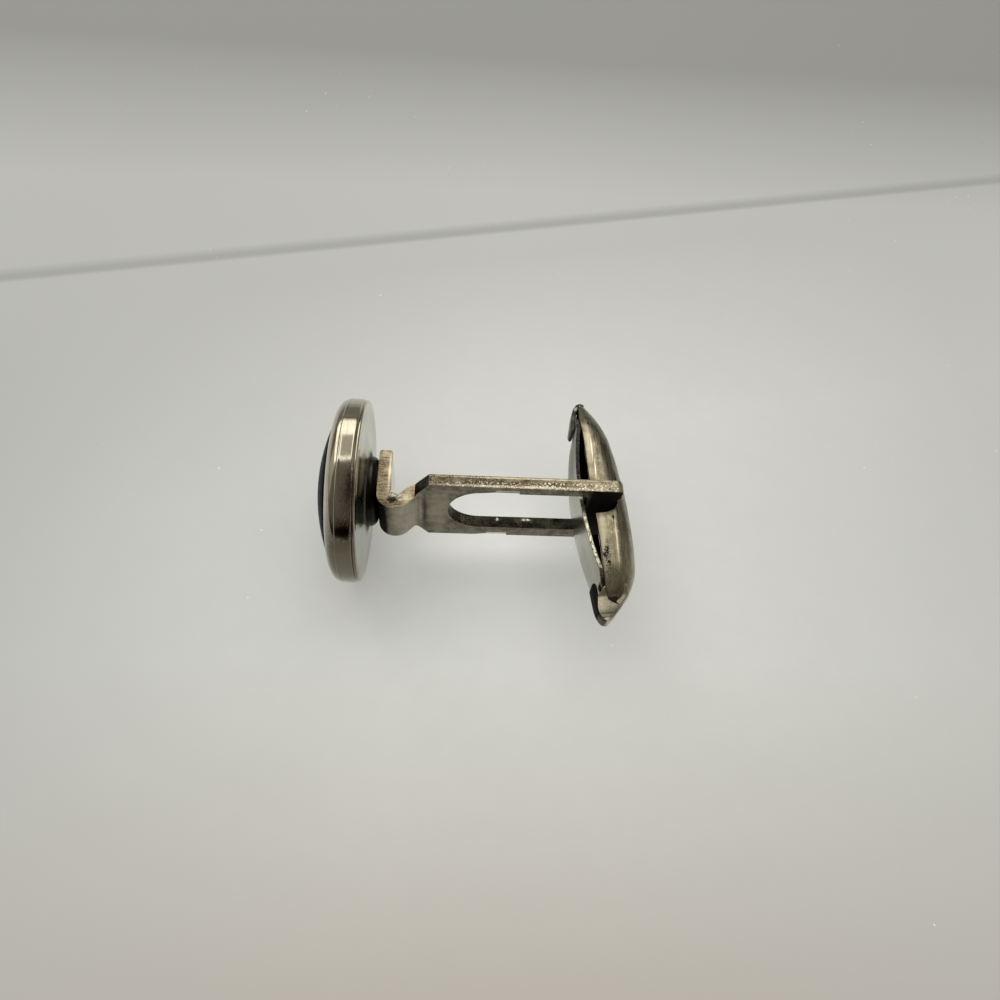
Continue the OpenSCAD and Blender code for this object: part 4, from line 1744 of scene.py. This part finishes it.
@dataclass
class Studio:
    """Pale table, soft light, cards that the metal mirrors, and the camera.

    The light pool and the seam are places on the table, and sight is in metres.
    """

    floor_z: float = -7.09
    floor_size: float = 6000.0
    floor_glow: float = 0.36
    paper: tuple[Colour, Colour] = ((0.6, 0.61, 0.583), (0.64, 0.65, 0.623))
    pool_at: Point2 = (10.5, 2.5)
    pool_reach: Point3 = (9.0, 6.0, 5.0)
    pool_tone: Colour = (1.0, 1.0, 0.97)
    seam_way: Point3 = (-0.24, 1.0, 0.0)
    seam_near: Point2 = (38.2, 38.8)
    seam_far: Point2 = (39.3, 40.6)
    seam_share: float = 0.6
    seam_tone: Colour = (0.27, 0.27, 0.26)
    dust_tone: Colour = (0.82, 0.82, 0.78)
    room_tone: Colour = (0.16, 0.148, 0.12)
    room_light: float = 0.8
    lens: float = 26.752
    sensor: float = 36.0
    sight: Point2 = (0.001, 20.0)
    camera_at: Point3 = (4.8223, -29.6607, 49.0223)
    right: Point3 = (0.99639315, -0.01281256, 0.08388407)
    up: Point3 = (-0.03310025, 0.85154359, 0.52323789)
    aim: Point3 = (8.0, 0.0, 0.0)
    near_shades: tuple[Shading, ...] = (
        Shading((0.0, 1.0, 0.0), -10.0, -34.0, 0.95, (0.43, 0.4, 0.355)),
        Shading((-1.0, 0.15, 0.0), -4.0, 40.0, 1, (0.41, 0.415, 0.4)),
        Shading((1.0, 0.0, 0.0), 16.0, 60.0, 0.7, (0.43, 0.435, 0.415)),
        Shading((-0.24, 1.0, 0.0), 8.0, 34.0, 0.85, (0.43, 0.435, 0.415)),
    )
    far_shade: Shading = Shading((-0.04, 1.0, 0.0), 48.0, 78.0, 0.95, (0.25, 0.25, 0.24))
    lamps: tuple[Lamp, ...] = (
        Lamp("key", (360, 330), (-38, 165, 250), (1.0, 0.99, 0.975), 0.42),
        Lamp("sky", (1400, 1400), (0, -60, 600), (1.0, 0.995, 0.98), 3.4),
    )
    cards: tuple[Card, ...] = (
        Card("softbox", (360, 330), (-38, 165, 250), (1.0, 0.96, 0.84), 1.78),
        Card("viewer", (92, 130), (-32, 98, 225), (0.62, 0.59, 0.5), 0.76),
        Card("far_wall", (900, 190), (0, 420, 80), (0.175, 0.172, 0.143)),
        Card("left_wall", (500, 260), (-330, 60, 240), (0.42, 0.39, 0.3)),
        Card("right_wall", (420, 260), (340, 40, 150), (0.34, 0.315, 0.25)),
        Card("room_low", (900, 95), (0, -330, 28), (0.02, 0.012, 0.008)),
    )

    def camera(self) -> None:
        """Sets the camera where the photograph was taken from."""
        data = bpy.data.cameras.new("camera")
        data.lens = self.lens
        data.sensor_width = self.sensor
        data.clip_start, data.clip_end = self.sight
        camera = add_object("camera", data)
        right, up = Vector(self.right), Vector(self.up)
        turn = Matrix((right, up, right.cross(up))).transposed()
        camera.matrix_world = Matrix.Translation(Vector(self.camera_at) * MM) @ turn.to_4x4()
        bpy.context.scene.camera = camera

    def facing(self, at: Point3, aim: Point3, forward: float) -> Matrix:
        """Turn and place whose Z looks at a point, with X as level as it can be.

        Args:
            at: Place in millimetres.
            aim: Point looked at.
            forward: 1 to look along +Z, -1 to look along -Z.

        Returns:
            The matrix, its shift in millimetres.
        """
        z = (Vector(aim) - Vector(at)).normalized() * forward
        x = Vector((1, 0, 0))
        x = (x - z * x.dot(z)).normalized()
        turn = Matrix((x, z.cross(x), z)).transposed().to_4x4()
        return Matrix.Translation(at) @ turn

    def panel(self, name: str, size: Point2, at: Point3, aim: Point3, finish: Material) -> Object:
        """Flat stage panel.

        Args:
            name: Name of the panel.
            size: Its width and height in millimetres.
            at: Its middle in millimetres.
            aim: Point that it faces.
            finish: Its material.

        Returns:
            The panel.
        """
        x, y = size[0] / 2, size[1] / 2
        corners = [Vector((-x, -y, 0)), Vector((x, -y, 0)), Vector((x, y, 0)), Vector((-x, y, 0))]
        panel = mesh_object(name, (corners, [(0, 1, 2, 3)]), self.facing(at, aim, 1))
        paint(panel, (finish,))
        return panel

    def floor(self) -> None:
        """Pale grey table: fine grain, dust, a faint seam, and light that falls off outward."""
        w = Wiring("table_paper")
        grain = w.grain(w.even(0.5), 6)
        tone = w.blend(grain, *self.paper)
        for shading in self.near_shades:
            tone = shading.over(w, tone)
        seam = w.combine(
            Op.MULTIPLY,
            w.toward(self.seam_way, *self.seam_near, 0, 1),
            w.toward(self.seam_way, *self.seam_far, 1, 0),
        )
        tone = w.blend(w.combine(Op.MULTIPLY, seam, self.seam_share), tone, self.seam_tone)
        tone = self.far_shade.over(w, tone)
        specks = w.spread(w.cells(w.even(0.45)), 0.035, 0.05, 0.6, 0)
        dusty = w.spread(w.grain(w.even(0.06), 2), 0.52, 0.62, 0, 1)
        tone = w.blend(w.combine(Op.MULTIPLY, specks, dusty), tone, self.dust_tone)
        pool = Patch((*self.pool_at, self.floor_z), self.pool_reach, self.pool_tone, 1.0, 1.0, 0.0)
        w.feed("Base Color", tone)
        w.feed("Emission Color", w.blend(pool.cover(w, grain), tone, pool.tone))
        w.fix("Emission Strength", self.floor_glow)
        w.fix("Roughness", 0.75)
        w.fix("Specular IOR Level", 0.2)
        w.bumped(grain, 0.01, 0.3)
        size = (self.floor_size, self.floor_size)
        self.panel("table", size, (0, 0, self.floor_z), (0, 0, 100), w.material)

    def hang(self, card: Card) -> None:
        """Hangs a card.

        Args:
            card: The card.
        """
        w = Wiring(card.name)
        w.fix("Base Color", (0, 0, 0, 1))
        w.fix("Specular IOR Level", 0.0)
        w.fix("Emission Color", (*card.colour, 1))
        w.fix("Emission Strength", card.strength)
        panel = self.panel(card.name, card.size, card.at, (0, 0, 0), w.material)
        panel.visible_camera = False
        panel.visible_diffuse = False
        panel.visible_shadow = False

    def light(self, lamp: Lamp) -> None:
        """Sets up a lamp, which reflections don't see.

        Args:
            lamp: The lamp.
        """
        data = bpy.data.lights.new(lamp.name, "AREA")
        data.shape = "RECTANGLE"
        data.size, data.size_y = lamp.size[0] * MM, lamp.size[1] * MM
        data.energy = lamp.watts
        data.color = lamp.colour
        place = self.facing(lamp.at, self.aim, -1)
        place.translation *= MM
        obj = add_object(lamp.name, data)
        obj.matrix_world = place
        obj.visible_glossy = False

    def world(self) -> None:
        """Dim warm room."""
        world = bpy.data.worlds.new("room")
        world.use_nodes = True
        bpy.context.scene.world = world
        background = world.node_tree.nodes["Background"]
        background.inputs["Color"].default_value = (*self.room_tone, 1)
        background.inputs["Strength"].default_value = self.room_light

    def build(self) -> None:
        """Sets up the whole studio."""
        bpy.context.scene.view_settings.view_transform = "Standard"
        self.camera()
        self.floor()
        self.world()
        for lamp in self.lamps:
            self.light(lamp)
        for card in self.cards:
            self.hang(card)


def main() -> None:
    """Builds every piece of the cufflink and its studio."""
    logging.basicConfig(level=logging.INFO, format="%(name)s %(message)s")
    finishes = Finishes()
    Head(finishes).build()
    ForkPost(finishes).build()
    Toggle(finishes).build()
    Studio().build()


if __name__ == "__main__":
    main()
